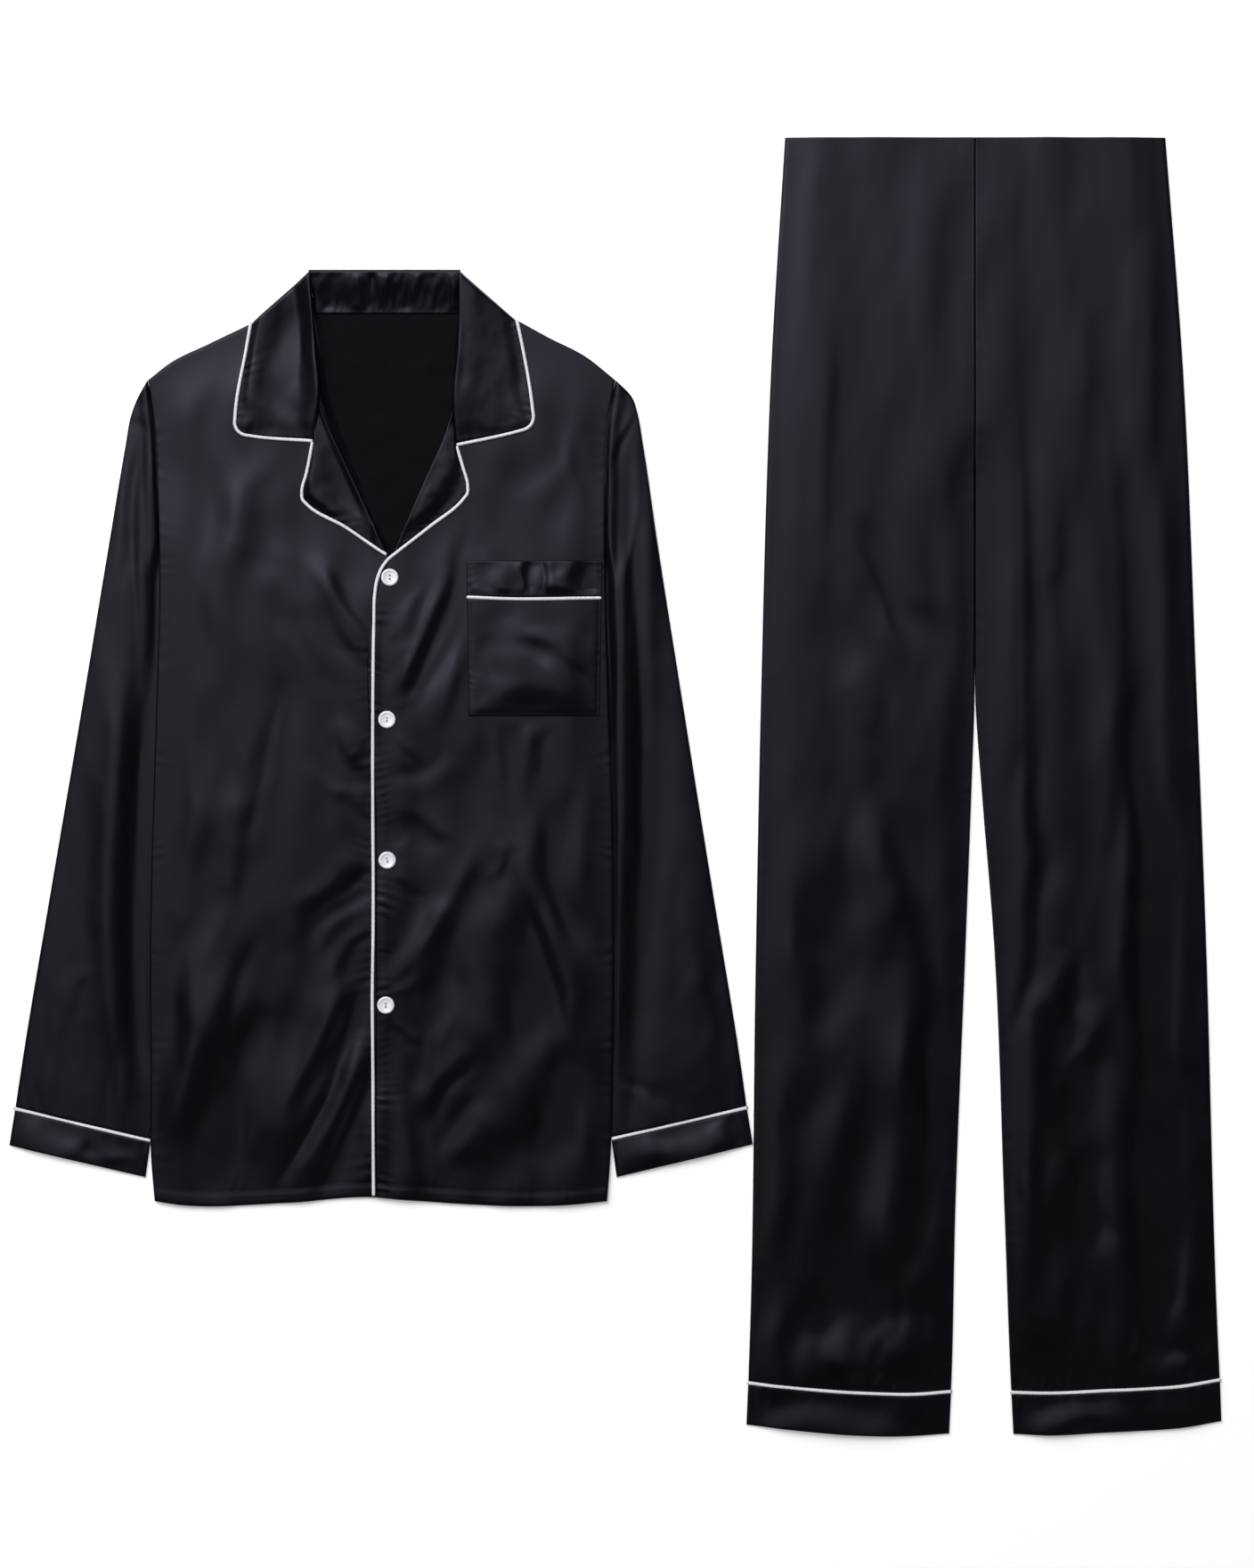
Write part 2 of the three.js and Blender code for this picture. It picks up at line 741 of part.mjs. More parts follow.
// Rows of a sleeve: the part beside the body, then the part that goes under it.
function sleeveRows(side) {
  const { outer, seam, elbowSide } = SLEEVES[side];
  const out = towards[side];
  const tuck = 2; // the sleeve is flat from just outside the body's edge inwards
  const bodyLine = BODY_SIDES.filter((row) => row.y > seam[1][1] + 20 && row.y <= UNDERARM_Y);
  const cuffEnd = [seam[1][0] + out * 6, lerp(seam[1][1], seam[0][1], 6 / 112)];
  const besideBody = [cuffEnd, ...bodyLine.map((row) => [row[side] + out * tuck, row.y])];
  const armhole = BODY_SIDES.filter((row) => row.y > UNDERARM_Y).map((row) => [row[side], row.y]);
  const crown = outer[outer.length - 1];
  const seamLine = [besideBody[besideBody.length - 1], ...armhole.slice(0, -1), crown];
  const shifted = seamLine.map(([x, y], i) => (i && i < seamLine.length - 1 ? [x + out * 0.4, y] : [x, y]));
  const shown = {
    low: line([seam[0], cuffEnd]),
    high: line([...shifted].reverse()),
    minusX: line(outer),
    plusX: line(besideBody),
  };
  const tucked = {
    low: line([cuffEnd, seam[1]]),
    high: line([besideBody[besideBody.length - 1], elbowSide]),
    minusX: line(besideBody),
    plusX: line([seam[1], elbowSide]),
  };
  const shownPlan = panelPlan(shown);
  const tuckedPlan = panelPlan(tucked);
  const shownColumns = [0, 0.14, 0.38, 0.62, 0.86, 1];
  const tuckedColumns = [1];
  return sharesThrough([shown.minusX], 12).map((up) => [
    ...shownColumns.map((across) => shownPlan(across, up)),
    ...tuckedColumns.map((across) => tuckedPlan(across, up)),
  ]);
}

// Top of a sleeve's upper layer: full beside the body, flat at its folds and under the body.
function sleeveTop(side) {
  const { outer, hem } = SLEEVES[side];
  const edge = [hem[0], ...outer];
  return (x, y) => {
    const from = xAt(edge, y);
    const to = tableAt(BODY_SIDES, side, y) + towards[side] * 2;
    const share = within((x - from) / (to - from));
    const full = Math.min(1, Math.abs(to - from) / FULL_WIDTH);
    return 2 * CLOTH + SEAM + SLEEVE_LOFT * full * Math.sin(Math.PI * share) ** 0.8;
  };
}

// Rows between the two ends of a cuff, at the given shares of its height.
function cuffRows(side, shares) {
  const { hem, seam } = SLEEVES[side];
  return shares.map((share) =>
    [0, 0.06, 0.2, 0.35, 0.5, 0.65, 0.8, 0.94, 1].map((across) =>
      [0, 1].map((axis) =>
        lerp(lerp(hem[0][axis], hem[1][axis], across), lerp(seam[0][axis], seam[1][axis], across), share),
      ),
    ),
  );
}

function makeSleeves() {
  for (const side of SIDES) {
    const top = sleeveTop(side);
    const cuffTop = (x, y) => {
      const [a, b] = SLEEVES[side].hem;
      const share = within((x - a[0]) / (b[0] - a[0]));
      const lofted = 2 * CLOTH + SEAM + CUFF_LOFT * Math.sin(Math.PI * share) ** 0.7;
      return Math.abs(share - 0.5) < 0.5 ? lofted : 2 * CLOTH + SEAM;
    };
    const height = Math.hypot(
      SLEEVES[side].seam[0][0] - SLEEVES[side].hem[0][0],
      SLEEVES[side].seam[0][1] - SLEEVES[side].hem[0][1],
    );
    const below = (2 * PIPING + 2 * SEAM) / height;
    const space = SEAM / height;
    addPiece(jacket, "sleeve_" + side, clothTube(sleeveRows(side), top, { skip: 2 }));
    addPiece(jacket, "cuff_" + side, clothTube(cuffRows(side, [0, 0.45, 1 - below]), cuffTop));
    const ring = cuffRows(side, [1 - below + space, 1 - space]);
    const raised = (x, y) => cuffTop(x, y) + PIPING_RISE;
    addPiece(jacket, "cuff_piping_" + side, clothTube(ring, raised, { wall: CLOTH + 0.3 }), WHITE_SATIN);
  }
}

// The collar is one folded piece: both leaves, the stand between them and the fall behind it.
function makeCollar() {
  const { roll, rollHeight, rollWidth, notch, rim, wall } = COLLAR;
  const inset = PIPING + SEAM;
  const onBody = onFronts();
  const parts = [];
  for (const side of SIDES) {
    const { piping, fold, roll: rollLine } = LEAVES[side];
    const free = movedAside(piping, -towards[side] * inset);
    const outer = [fold[0], ...free.slice(1, LEAF_CORNER + 1)].reverse();
    const lower = [...free.slice(LEAF_CORNER, -1), rollLine[0]];
    const edges =
      side === "right"
        ? { low: lower, high: fold, minusX: outer, plusX: rollLine }
        : { low: [...lower].reverse(), high: [...fold].reverse(), minusX: rollLine, plusX: outer };
    const leafUnder = (x, y) => {
      const inner = Math.abs(xAt(rollLine, y) - x);
      const stands = lerp(notch.share, 1, ease((y - notch.y) / notch.rise));
      return onBody(x, y) + rollHeight * (1 - ease(inner / rollWidth)) * stands;
    };
    parts.push(clothSheet(planGrid(edges, 5, 7), leafUnder, wall));
    const foldLine = line(fold);
    const inward = [-towards[side] * 0.66, -0.75];
    const rimPlan = [rim, 0].map((depth) =>
      [0.1, 0.32, 0.54, 0.78, 1].map((share) => {
        const [x, y] = foldLine.at(share);
        return [x + inward[0] * depth, y + inward[1] * depth];
      }),
    );
    if (side === "left") rimPlan.forEach((row) => row.reverse());
    const rimTop = (x, y) => leafUnder(x, y) + wall / 2;
    parts.push(wallFrom(rimPlan, 0, rimTop));
  }
  const ends = { low: NECK.y + 0.4, high: roll.y - 0.2 };
  const behindNeck = {
    low: [
      [NECK.right + 0.4, ends.low],
      [NECK.left - 0.4, ends.low],
    ],
    high: [
      [roll.right + 1, ends.high],
      [roll.left - 1, ends.high],
    ],
    minusX: [
      [NECK.right + 0.4, ends.low],
      [roll.right + 1, ends.high],
    ],
    plusX: [
      [NECK.left - 0.4, ends.low],
      [roll.left - 1, ends.high],
    ],
  };
  const neckPlan = planGrid(behindNeck, 8, 4);
  const standUnder = (x, y) => CLOTH + 0.5 + (rollHeight - 0.4) * ease((y - NECK.y) / (roll.y - NECK.y));
  parts.push(clothSheet(neckPlan, standUnder, wall));
  parts.push(clothSheet(neckPlan, () => 0));
  const rollRim = [rim, 0].map((depth) =>
    [0, 0.25, 0.5, 0.75, 1].map((share) => [lerp(roll.right, roll.left, share), roll.y - depth]),
  );
  parts.push(wallFrom(rollRim, 0, () => CLOTH + rollHeight));
  const whole = parts.map(solidFrom).reduce((sum, part) => sum.add(part));
  addPiece(jacket, "collar", geometryOf(whole));
}

// A wall between two rows of plan points, from one height up to the top that is given for each.
function wallFrom(grid, low, topAt) {
  const tall = grid.map((row) => row.map(([x, y]) => [x, y, low]));
  const tops = grid.map((row) => row.map(([x, y]) => [x, y, topAt(x, y)]));
  const [near, far] = tall;
  const [nearTop, farTop] = tops;
  const corners = [];
  const last = near.length - 1;
  for (let i = 0; i < last; i += 1) {
    corners.push(...quad(nearTop[i], nearTop[i + 1], farTop[i + 1], farTop[i]));
    corners.push(...quad(near[i], far[i], far[i + 1], near[i + 1]));
    corners.push(...quad(near[i], near[i + 1], nearTop[i + 1], nearTop[i]));
    corners.push(...quad(far[i], farTop[i], farTop[i + 1], far[i + 1]));
  }
  corners.push(...quad(near[0], nearTop[0], farTop[0], far[0]));
  corners.push(...quad(near[last], far[last], farTop[last], nearTop[last]));
  return geometryFrom(corners);
}

function makeLapels() {
  for (const side of SIDES) {
    const { fold, piping } = LAPELS[side];
    const edge = movedAside(piping.slice(0, LAPEL_POINTS), towards[side] * -(PIPING + SEAM));
    const [minus, plus] = side === "right" ? [edge, fold] : [fold, edge];
    const edges = {
      low: [minus[minus.length - 1], plus[plus.length - 1]],
      high: [minus[0], plus[0]],
      minusX: [...minus].reverse(),
      plusX: [...plus].reverse(),
    };
    addPanel("lapel_" + side, planGrid(edges, 4, 8), onFronts());
  }
}

function makeJacketPiping() {
  const onBody = onFronts(2 * PIPING);
  const centre = (x, y) => onBody(x, y) + PIPING;
  for (const side of SIDES) {
    const leafPiping = pipingAlong(LEAVES[side].piping, centre);
    addPiece(jacket, "collar_piping_" + side, leafPiping, WHITE_SATIN);
  }
  const rightLapel = pipingAlong(LAPELS.right.piping, centre);
  addPiece(jacket, "front_piping_right", rightLapel, WHITE_SATIN);
  const besideEdge = (x, y) => {
    const low = Math.max(highestAt([tops.jacket_front_right], x, y, 2 * PIPING), BARE_SEAM) + REST + PIPING;
    return lerp(low, centre(x, y), ease((y - PIPING_TURNS.low) / (PIPING_TURNS.high - PIPING_TURNS.low)));
  };
  addPiece(jacket, "front_piping_left", pipingAlong(LAPELS.left.piping, besideEdge), WHITE_SATIN);
}

function makePocket() {
  const { right, left, top, piping, bottom, taper } = POCKET;
  const side = (low, high, lowIn, highIn) => ({
    low: [
      [right + lowIn, low],
      [left - lowIn, low],
    ],
    high: [
      [right + highIn, high],
      [left - highIn, high],
    ],
    minusX: [
      [right + lowIn, low],
      [right + highIn, high],
    ],
    plusX: [
      [left - lowIn, low],
      [left - highIn, high],
    ],
  });
  const clear = PIPING + SEAM;
  const onPanel = onFronts();
  const bag = side(bottom, piping - clear, taper, taper * 0.2);
  const band = side(piping + clear, top, taper * 0.2, 0);
  addPanel("chest_pocket", planGrid(bag, 8, 7), onPanel);
  addPanel("pocket_band", planGrid(band, 8, 2), onPanel);
  const pipingLine = [
    [right + 0.4, piping],
    [left - 0.4, piping],
  ];
  const pipe = pipingAlong(pipingLine, (x, y) => onPanel(x, y) + PIPING);
  addPiece(jacket, "pocket_piping", pipe, WHITE_SATIN);
}

// A two-hole button: dished face inside a raised rim.
function makeButtons() {
  const { radius, height, dish, rim, hole, spacing } = BUTTON;
  const profile = [
    [0, 0],
    [radius - 1.2, 0],
    [radius, height * 0.45],
    [radius - 0.3, height * 0.85],
    [radius - 0.9, height],
    [radius - rim, height * 0.9],
    [radius - rim - 0.9, height - dish],
    [0, height - dish],
  ].map(([x, y]) => new THREE.Vector2(x, y));
  const disc = new THREE.LatheGeometry(profile, 16).rotateX(Math.PI / 2);
  const blank = solidFrom(disc);
  const drill = (offset) =>
    solidFrom(
      new THREE.CylinderGeometry(hole, hole, 4 * height, 6).rotateX(Math.PI / 2).translate(0, offset, 0),
    );
  const button = geometryOf(blank.subtract(drill(spacing / 2)).subtract(drill(-spacing / 2)));
  BUTTON_PLACES.forEach(({ x, y }, i) => {
    const seat = highestAt([tops.jacket_front_left], x, y, radius) + REST;
    const seated = button.clone().translate(x, y, seat);
    addPiece(jacket, "button_" + (i + 1), seated, PEARL);
  });
}

// How far a trouser front stands off its back: down at the side and inner seams, open at the fork.
function trouserLoft(side) {
  const { minusX, plusX } = LEG_EDGES[side];
  return (x, y) => {
    const outerEdge = side === "right" ? minusX : plusX;
    const innerEdge = side === "right" ? plusX : minusX;
    const outer = ease(Math.abs(x - xAt(outerEdge, y)) / EDGE_RISE);
    const atFork = ease((y - FORK_Y + 30) / 60);
    const inner = lerp(ease(Math.abs(x - xAt(innerEdge, y)) / EDGE_RISE), 1, atFork);
    return outer * inner * Math.min(MOST_LOFT, LOFT + foldsAt(TROUSER_FOLDS, x, y));
  };
}

function makeTrousers() {
  for (const side of SIDES) {
    const edges = LEG_EDGES[side];
    const length = line(edges.minusX).length;
    const loft = trouserLoft(side);
    const bandEnd = LEG_BAND / length;
    const pipeEnd = (LEG_BAND + 2 * PIPING) / length;
    const space = SEAM / length;
    const front = planGrid(edges, 8, 20, pipeEnd + space, 1);
    const back = planGrid(edges, 8, 6, pipeEnd + space, 1);
    addPiece(trousers, "trouser_front_" + side, clothSheet(front, (x, y) => layer + loft(x, y)));
    addPiece(trousers, "trouser_back_" + side, clothSheet(back, () => 0));
    const legTop = (x, y) => layer + CLOTH + loft(x, y);
    const band = planGrid(edges, 8, 60, 0, bandEnd - space);
    const ring = planGrid(edges, 8, 60, bandEnd, pipeEnd);
    addPiece(trousers, "leg_band_" + side, clothTube(band, legTop));
    const raised = (x, y) => legTop(x, y) + PIPING_RISE;
    addPiece(trousers, "leg_piping_" + side, clothTube(ring, raised, { wall: CLOTH + 0.3 }), WHITE_SATIN);
  }
}

makeBack();
makeFronts();
makeSleeves();
makeCollar();
makeLapels();
makeJacketPiping();
makePocket();
makeButtons();
makeTrousers();

jacket.position.set(...JACKET_AT, 0);
trousers.position.set(...TROUSERS_AT, 0);

// The origin is the middle of the outline, on the table.
const middle = new THREE.Box3().setFromObject(set).getCenter(new THREE.Vector3());
for (const garment of [jacket, trousers]) {
  garment.position.x -= middle.x;
  garment.position.y -= middle.y;
}

export default set;
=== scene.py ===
"""A black satin pyjama set laid flat: a jacket with a notched collar and white piping, and its trousers.

Each garment is drawn in millimetres in its own frame, x from its middle line and y from its hem.
Right and left in names are the wearer's, so the right sleeve lies at the picture's left.
"""

import math

import bmesh
import bpy
import numpy as np
from mathutils import Matrix, Vector
from mathutils.bvhtree import BVHTree


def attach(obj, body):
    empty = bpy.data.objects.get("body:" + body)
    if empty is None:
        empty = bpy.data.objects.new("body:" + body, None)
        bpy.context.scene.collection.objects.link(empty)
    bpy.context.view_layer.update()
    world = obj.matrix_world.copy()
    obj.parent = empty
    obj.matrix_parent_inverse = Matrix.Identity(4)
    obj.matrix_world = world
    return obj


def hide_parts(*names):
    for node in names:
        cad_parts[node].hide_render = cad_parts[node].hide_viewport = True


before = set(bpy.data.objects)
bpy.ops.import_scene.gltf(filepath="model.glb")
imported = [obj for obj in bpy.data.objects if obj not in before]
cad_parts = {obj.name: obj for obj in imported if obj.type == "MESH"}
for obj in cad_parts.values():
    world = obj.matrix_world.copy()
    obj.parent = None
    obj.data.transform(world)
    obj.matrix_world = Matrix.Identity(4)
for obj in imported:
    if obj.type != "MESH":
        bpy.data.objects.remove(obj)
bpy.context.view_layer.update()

MM = 0.001
JACKET_AT = (-188.0, -336.0)
TROUSERS_AT = (291.0, -525.35)
PHOTO = (1408, 1760)  # pixels
PIXEL = 0.72  # millimetres of cloth that one pixel of the photograph covers

CLOTH = 0.55  # thickness of the satin
TUBE_WALL = 0.45  # and in sleeves, cuffs and leg bands, whose two sides lie close together
COLLAR_WALL = 0.8  # the collar and the lapels are double
LAPEL_WALL = 0.7
POCKET_WALL = 0.5
TUBE_LOW = 0.3  # lowest place on a tube's outside
SLEEVE_EDGE = 2.4  # height of a sleeve's or cuff's upper side at its folds
LEG_EDGE = 2.3  # and of a leg's at its edges
BACK_TOP = 1  # height of the back's upper side on the table
SLEEVE_LIFT = 2.7  # how much a sleeve beneath raises it
FRONT_ABOVE = 1.3  # the fronts' upper side lies this far above it at the seams
PIPING = 1.32  # radius of the corded piping
SEWN_IN = PIPING * 0.7  # a panel's edge lies this far inside the middle of its piping
RING_SIDE = 1.7  # height of the middle of a ring of piping at a tube's folds
RING_LOW = 1.5  # and beneath the tube
LOFT = 2.0  # how far a front stands off the layer below it
EDGE_RISE = 34.0  # over this width it rises from a side seam
SHOULDER_RISE = 58.0  # and over this one from a shoulder seam
TO_LIGHT = (-0.5, 0.87)  # way to the key light, seen from above

# Height on the body's side edges, then x of the right and of the left one.
BODY_SIDES = (
    (0.7, -184.5, 181.4), (34.6, -187.3, 183.9), (110, -187.9, 186), (241, -187.9, 186.6), (310, -186, 186),
    (402, -183.2, 182.9), (511, -180.7, 180), (582, -182.9, 180.2), (631, -185.8, 182.4),
    (665, -190, 187.9),
)
BODY_WIDTH = 370
BODY_LENGTH = 700
UNDERARM_Y = 511
HEM = ((-184.5, 0.7), (-166, -2), (-78, -0.7), (-7, 3.8), (22, 1.4), (151, -2.2), (181.4, 0.7))
SHOULDER = {
    "right": ((-190, 665), (-172, 679), (-141.5, 694), (-107, 710.5), (-58.3, 734)),
    "left": ((61.9, 734), (108.7, 713), (134.6, 699), (162.7, 684.7), (187.9, 665)),
}
NECK = ((-53.3, 723), (-50, 722), (-42, 721.6), (48, 721.6), (57, 722), (60.5, 723))  # under the stand
STAND_SEAM = {"y": 718.6, "right": -53.3, "left": 60.5}
FRONT_EDGES = {
    "right": (
        (13.7, 3.5), (13.7, 300), (13.7, 500), (3, 528.5), (-15.8, 582), (-39, 635), (-45.2, 655.5),
        (-48, 680), (-53.5, 706), (-58.3, 734),
    ),
    "left": (
        (-5.7, 4.6), (-5.6, 300), (-5.2, 489), (0.6, 509), (13, 532), (55.5, 634), (60.5, 690), (61.9, 734),
    ),
}
OVERLAP_EDGE = 13.7  # hidden edge of the right front
OVERLAP_STEP = 22.0  # over this width the left front comes down beside it
OVERLAP_LIFT = 1.25  # how far it is lifted there
OPENING_Y = 520  # above this height the fronts lie open round the neck
HEM_TURN = 11  # height of the turned-up hem
BACK_TRIM = 1.2  # the back stays this far inside the side seams

SLEEVES = {
    "right": {
        "outer": (
            (-297.4, 77), (-292.8, 108), (-268.8, 252), (-244.3, 396), (-220.5, 540), (-208.4, 612),
            (-204, 636), (-199.4, 648.7), (-190.5, 664.6),
        ),
        "hem": ((-302.4, 46.1), (-192.2, 20.2)),
        "seam": ((-297.4, 77), (-187.9, 51.1)),
        "elbow": (-33, 452),
    },
    "left": {
        "outer": (
            (294.1, 77.8), (289.9, 108), (266.7, 252), (243.7, 396), (221.1, 540), (210.5, 612),
            (205.9, 638), (202, 650.2), (188.4, 664.6),
        ),
        "hem": ((299.2, 46.8), (189, 20.2)),
        "seam": ((294.1, 77.8), (184.6, 52.6)),
        "elbow": (33, 452),
    },
}

# Piping of each collar leaf from the shoulder to the notch, its fold at the shoulder and its inner roll.
LEAVES = {
    "right": {
        "piping": (
            (-106.6, 711.5), (-110.3, 690), (-119.2, 634), (-119.4, 628.5), (-117, 623.4), (-112.6, 620.4),
            (-107, 619.4), (-56.5, 615.3),
        ),
        "fold": ((-104.6, 712.6), (-58.3, 753.8)),
        "roll": ((-55, 617), (-50.2, 651.6), (-53.6, 693.4), (-58.3, 753.8)),
    },
    "left": {
        "piping": (
            (108.2, 713.5), (112, 696), (121.3, 640), (121.9, 634), (119.8, 628.2), (115.4, 624.8),
            (110, 623.2), (59.8, 612),
        ),
        "fold": ((106.2, 714.4), (61.2, 753.8)),
        "roll": ((58.4, 614), (56.2, 640), (60.2, 693.4), (61.2, 753.8)),
    },
}
LEAF_CORNER = 4  # the point of the leaf in that piping, counted from 0
ROLL_WIDTH = {"right": 19, "left": 54}  # over this width the leaf comes down from the roll
COLLAR_ROLL = {"y": 753.8, "right": -58.3, "left": 61.2, "height": 6.4}

# Fold line of each lapel, and its piping from the notch round its point and down to the break.
LAPELS = {
    "right": {
        "fold": ((-53, 652), (-46, 634), (-22, 582), (2.6, 528)),
        "piping": (
            (-56.6, 614.4), (-61.4, 590), (-65.4, 573.5), (-64.8, 568), (-61.2, 564), (-30, 545.6),
            (-1.6, 526.4),
        ),
    },
    "left": {
        "fold": ((56.2, 640), (50, 622), (28, 572), (9.6, 529)),
        "piping": (
            (59.8, 611), (64.6, 595), (68.8, 578.5), (68.6, 573), (65.6, 568.8), (38, 546), (11.8, 525.4),
        ),
    },
}
# The left front's piping goes on from there, round the break and down the edge to the hem.
FRONT_PIPING = (
    (11.8, 525.4), (4.6, 519.6), (-1, 512), (-4.4, 503), (-6.2, 491), (-6.8, 470), (-7.5, 420), (-7.9, 320),
    (-7.6, 220), (-8.4, 170), (-8, 120), (-7.3, 5.6),
)

POCKET = {"right": 67.7, "left": 177.1, "top": 518.4, "piping": 488.4, "bottom": 392.8, "taper": 1.8}
POCKET_SEWN = 1.6  # its stitches lie this far inside its edge
POCKET_BULGE = 3.4
BUTTONS = ((5.9, 505), (3.6, 390.2), (3.8, 276.7), (2.6, 159.6))
BUTTON = {"radius": 7.0, "height": 2.5, "hole": 0.75, "spacing": 2.6}
# One strand of a button's thread, up through a hole and down the other: place across and height.
THREAD_BOW = ((-1.35, 0.3), (-1.2, 1.7), (0, 2.05), (1.2, 1.7), (1.35, 0.3))

# Edges of the trouser legs, hem to waist.
LEGS = {
    "right": {
        "low": ((-185, 9.4), (-141, 4.7), (-91.4, 0.9), (-54.7, 0.2), (-20.9, 2.2)),
        "high": ((-153.7, 1050.5), (-0.15, 1050.5)),
        "minus": (
            (-185, 9.4), (-183.6, 42), (-182.2, 81), (-177.6, 376), (-173.2, 598), (-164.5, 873),
            (-153.7, 1050.5),
        ),
        "plus": (
            (-20.9, 2.2), (-19.3, 36), (-15.8, 183), (-7.3, 403), (-2.6, 528), (-0.3, 598), (-0.02, 650),
            (-0.02, 790), (-0.06, 1050.5),
        ),
    },
    "left": {
        "low": ((31, 1.8), (58.3, 1.1), (113.8, 3.6), (169.2, 7.2), (199.4, 12.2)),
        "high": ((0.15, 1050.5), (154.1, 1050.5)),
        "minus": (
            (31, 1.8), (29.3, 36), (23.8, 183), (15.1, 403), (5.6, 520), (0.3, 598), (0.02, 650),
            (0.02, 790), (0.06, 1050.5),
        ),
        "plus": (
            (199.4, 12.2), (198.3, 44), (196.6, 81), (187, 403), (179.6, 598), (167.8, 873),
            (154.1, 1050.5),
        ),
    },
}
FORK_Y = 792
LEG_WIDTH = 172
LEG_BAND = 32.5  # height of the turned band below the leg's piping
LEG_SEED = {"right": 0.9, "left": 3.3}  # sets where each leg's small creases lie

# Folds: from x, y to x, y; how far the middle bows to the left; slope of the side between ridge and trough in
# percent, above 0 where it faces the light and below 0 where it turns away; half width.
FRONT_FOLDS = (
    (-62, 516, -12, 434, -3.6, -24, 10.8), (-45, 514, -7, 451, -2.9, 22, 8.3),
    (-78, 469, -49, 409, -2.9, -13, 9.1), (-94, 526, -61, 468, 3.6, 9, 16.6),
    (-39, 380, -11, 344, -2.2, -20, 7.5), (-30, 397, -8, 366, -2.2, 16, 6.6),
    (-27, 333, -9, 308, -1.4, -16, 6.6), (-58, 354, -13, 325, -2.9, 12, 9.1),
    (-81, 405, -103, 297, -2.2, 14, 5.8), (-94, 396, -115, 295, -2.2, -10, 9.9),
    (-101, 331, -121, 245, -3.6, -14, 14.1), (-9, 268, -62, 232, -4.3, -18, 9.9),
    (-11, 246, -58, 207, -4.3, 17, 9.1), (-10, 222, -43, 177, -2.9, -16, 7.5),
    (-14, 168, -78, 17, 6.5, 44, 8.3), (-29, 173, -73, 82, 4.3, -28, 11.6),
    (-10, 122, -58, 7, 5.8, -27, 11.6), (-103, 216, -150, 62, -8.6, -25, 17.4),
    (-130, 245, -168, 130, -5.8, 17, 16.6), (-94, 151, -121, 36, -4.3, 19, 14.9),
    (-168, 115, -181, 14, -2.9, -16, 13.2), (-137, 598, -130, 425, -5.8, 14, 28.2),
    (-94, 598, -107, 511, -4.3, -12, 18.2), (-160, 396, -163, 252, -2.9, 14, 21.5),
    (63, 537, 14, 402, 5, -31, 9.1), (50, 511, 10, 422, 3.6, 26, 7.5), (85, 530, 29, 395, 5.8, 21, 10.8),
    (95, 511, 50, 392, 4.3, -17, 10.8), (35, 497, 8, 452, 2.2, -15, 6.6),
    (10, 320, 54, 295, -3.6, -16, 10.8), (7, 337, 52, 360, -3.6, 13, 10.8),
    (127, 304, 162, 192, -6.5, -27, 15.7), (109, 268, 164, 40, 8.6, 31, 13.2),
    (76, 282, 33, 157, -5, -25, 14.1), (94, 167, 122, 35, 4.3, -21, 15.7),
    (50, 246, 12, 184, -3.6, 19, 12.4), (71, 118, 37, 69, -2.9, -22, 10.8),
    (55, 158, 32, 79, -2.9, 17, 9.9), (81, 81, 50, 35, -2.9, 20, 10.8), (11, 88, 30, 13, 2.9, -19, 9.1),
    (151, 160, 171, 35, -2.9, -21, 12.4), (-94, 158, -166, 22, -5.8, -23, 36.4),
    (-22, 187, -56, 22, 4.3, -19, 24.8), (122, 252, 91, 108, -2.9, -17, 29.8),
    (158, 122, 94, 29, -2.9, -18, 29.8), (122, 569, 151, 628, -3.6, 11, 19.9),
    (151, 621, 168, 560, -2.9, -15, 9.9), (94, 387, 102, 337, -1.4, -16, 6.6),
    (115, 390, 111, 324, -1.4, 16, 8.3), (131, 384, 125, 344, -1.4, -12, 7.5),
    (104, 288, 94, 258, -1.4, -15, 7.5), (160, 353, 151, 220, -3.6, 12, 14.9),
    (9, 377, 27, 356, -1.4, -14, 4.1), (10, 403, 29, 416, -1.4, 10, 5), (9, 264, 35, 249, -1.4, -13, 5),
    (8, 288, 23, 301, -1.4, 10, 5), (7, 147, 29, 128, -1.4, -16, 5), (7, 171, 26, 184, -1.4, 12, 5),
    (-7, 370, -24, 360, -1.4, -10, 5), (-8, 259, -27, 243, -1.4, -10, 5),
)
POCKET_FOLDS = (
    (111, 456, 168, 422, 5.8, -20, 7.5), (108, 448, 151, 413, 4.3, 9, 5),
    (76, 454, 88, 418, -2.2, -10, 8.3),
)
BAND_FOLDS = (
    (91, 521, 91, 491, 0, 20, 9.9), (115, 521, 114, 491, 0, -39, 5.8), (131, 521, 132, 491, 0, 37, 5),
    (156, 521, 154, 491, 0, -29, 13.2),
)
LEAF_FOLDS = (
    (-78, 744, -94, 631, -4.3, -25, 21.5), (-66, 716, -59, 667, -1.4, 16, 5),
    (-109, 658, -66, 628, -2.9, 10, 10.8), (-115, 684, -117, 634, -0.7, -18, 6.6),
    (66, 743, 98, 655, -4.3, 6, 21.5), (63, 696, 71, 651, -2.2, 14, 11.6),
    (107, 687, 115, 631, -1.4, -23, 7.5), (79, 634, 108, 626, -1.4, 9, 8.3),
)
LAPEL_FOLDS = (
    (-56, 634, -27, 547, -4.3, -29, 18.2), (-58, 605, -42, 569, -1.4, 9, 5.8),
    (50, 629, 23, 554, 2.9, 15, 9.9), (59, 598, 36, 552, 2.2, -21, 9.9),
)
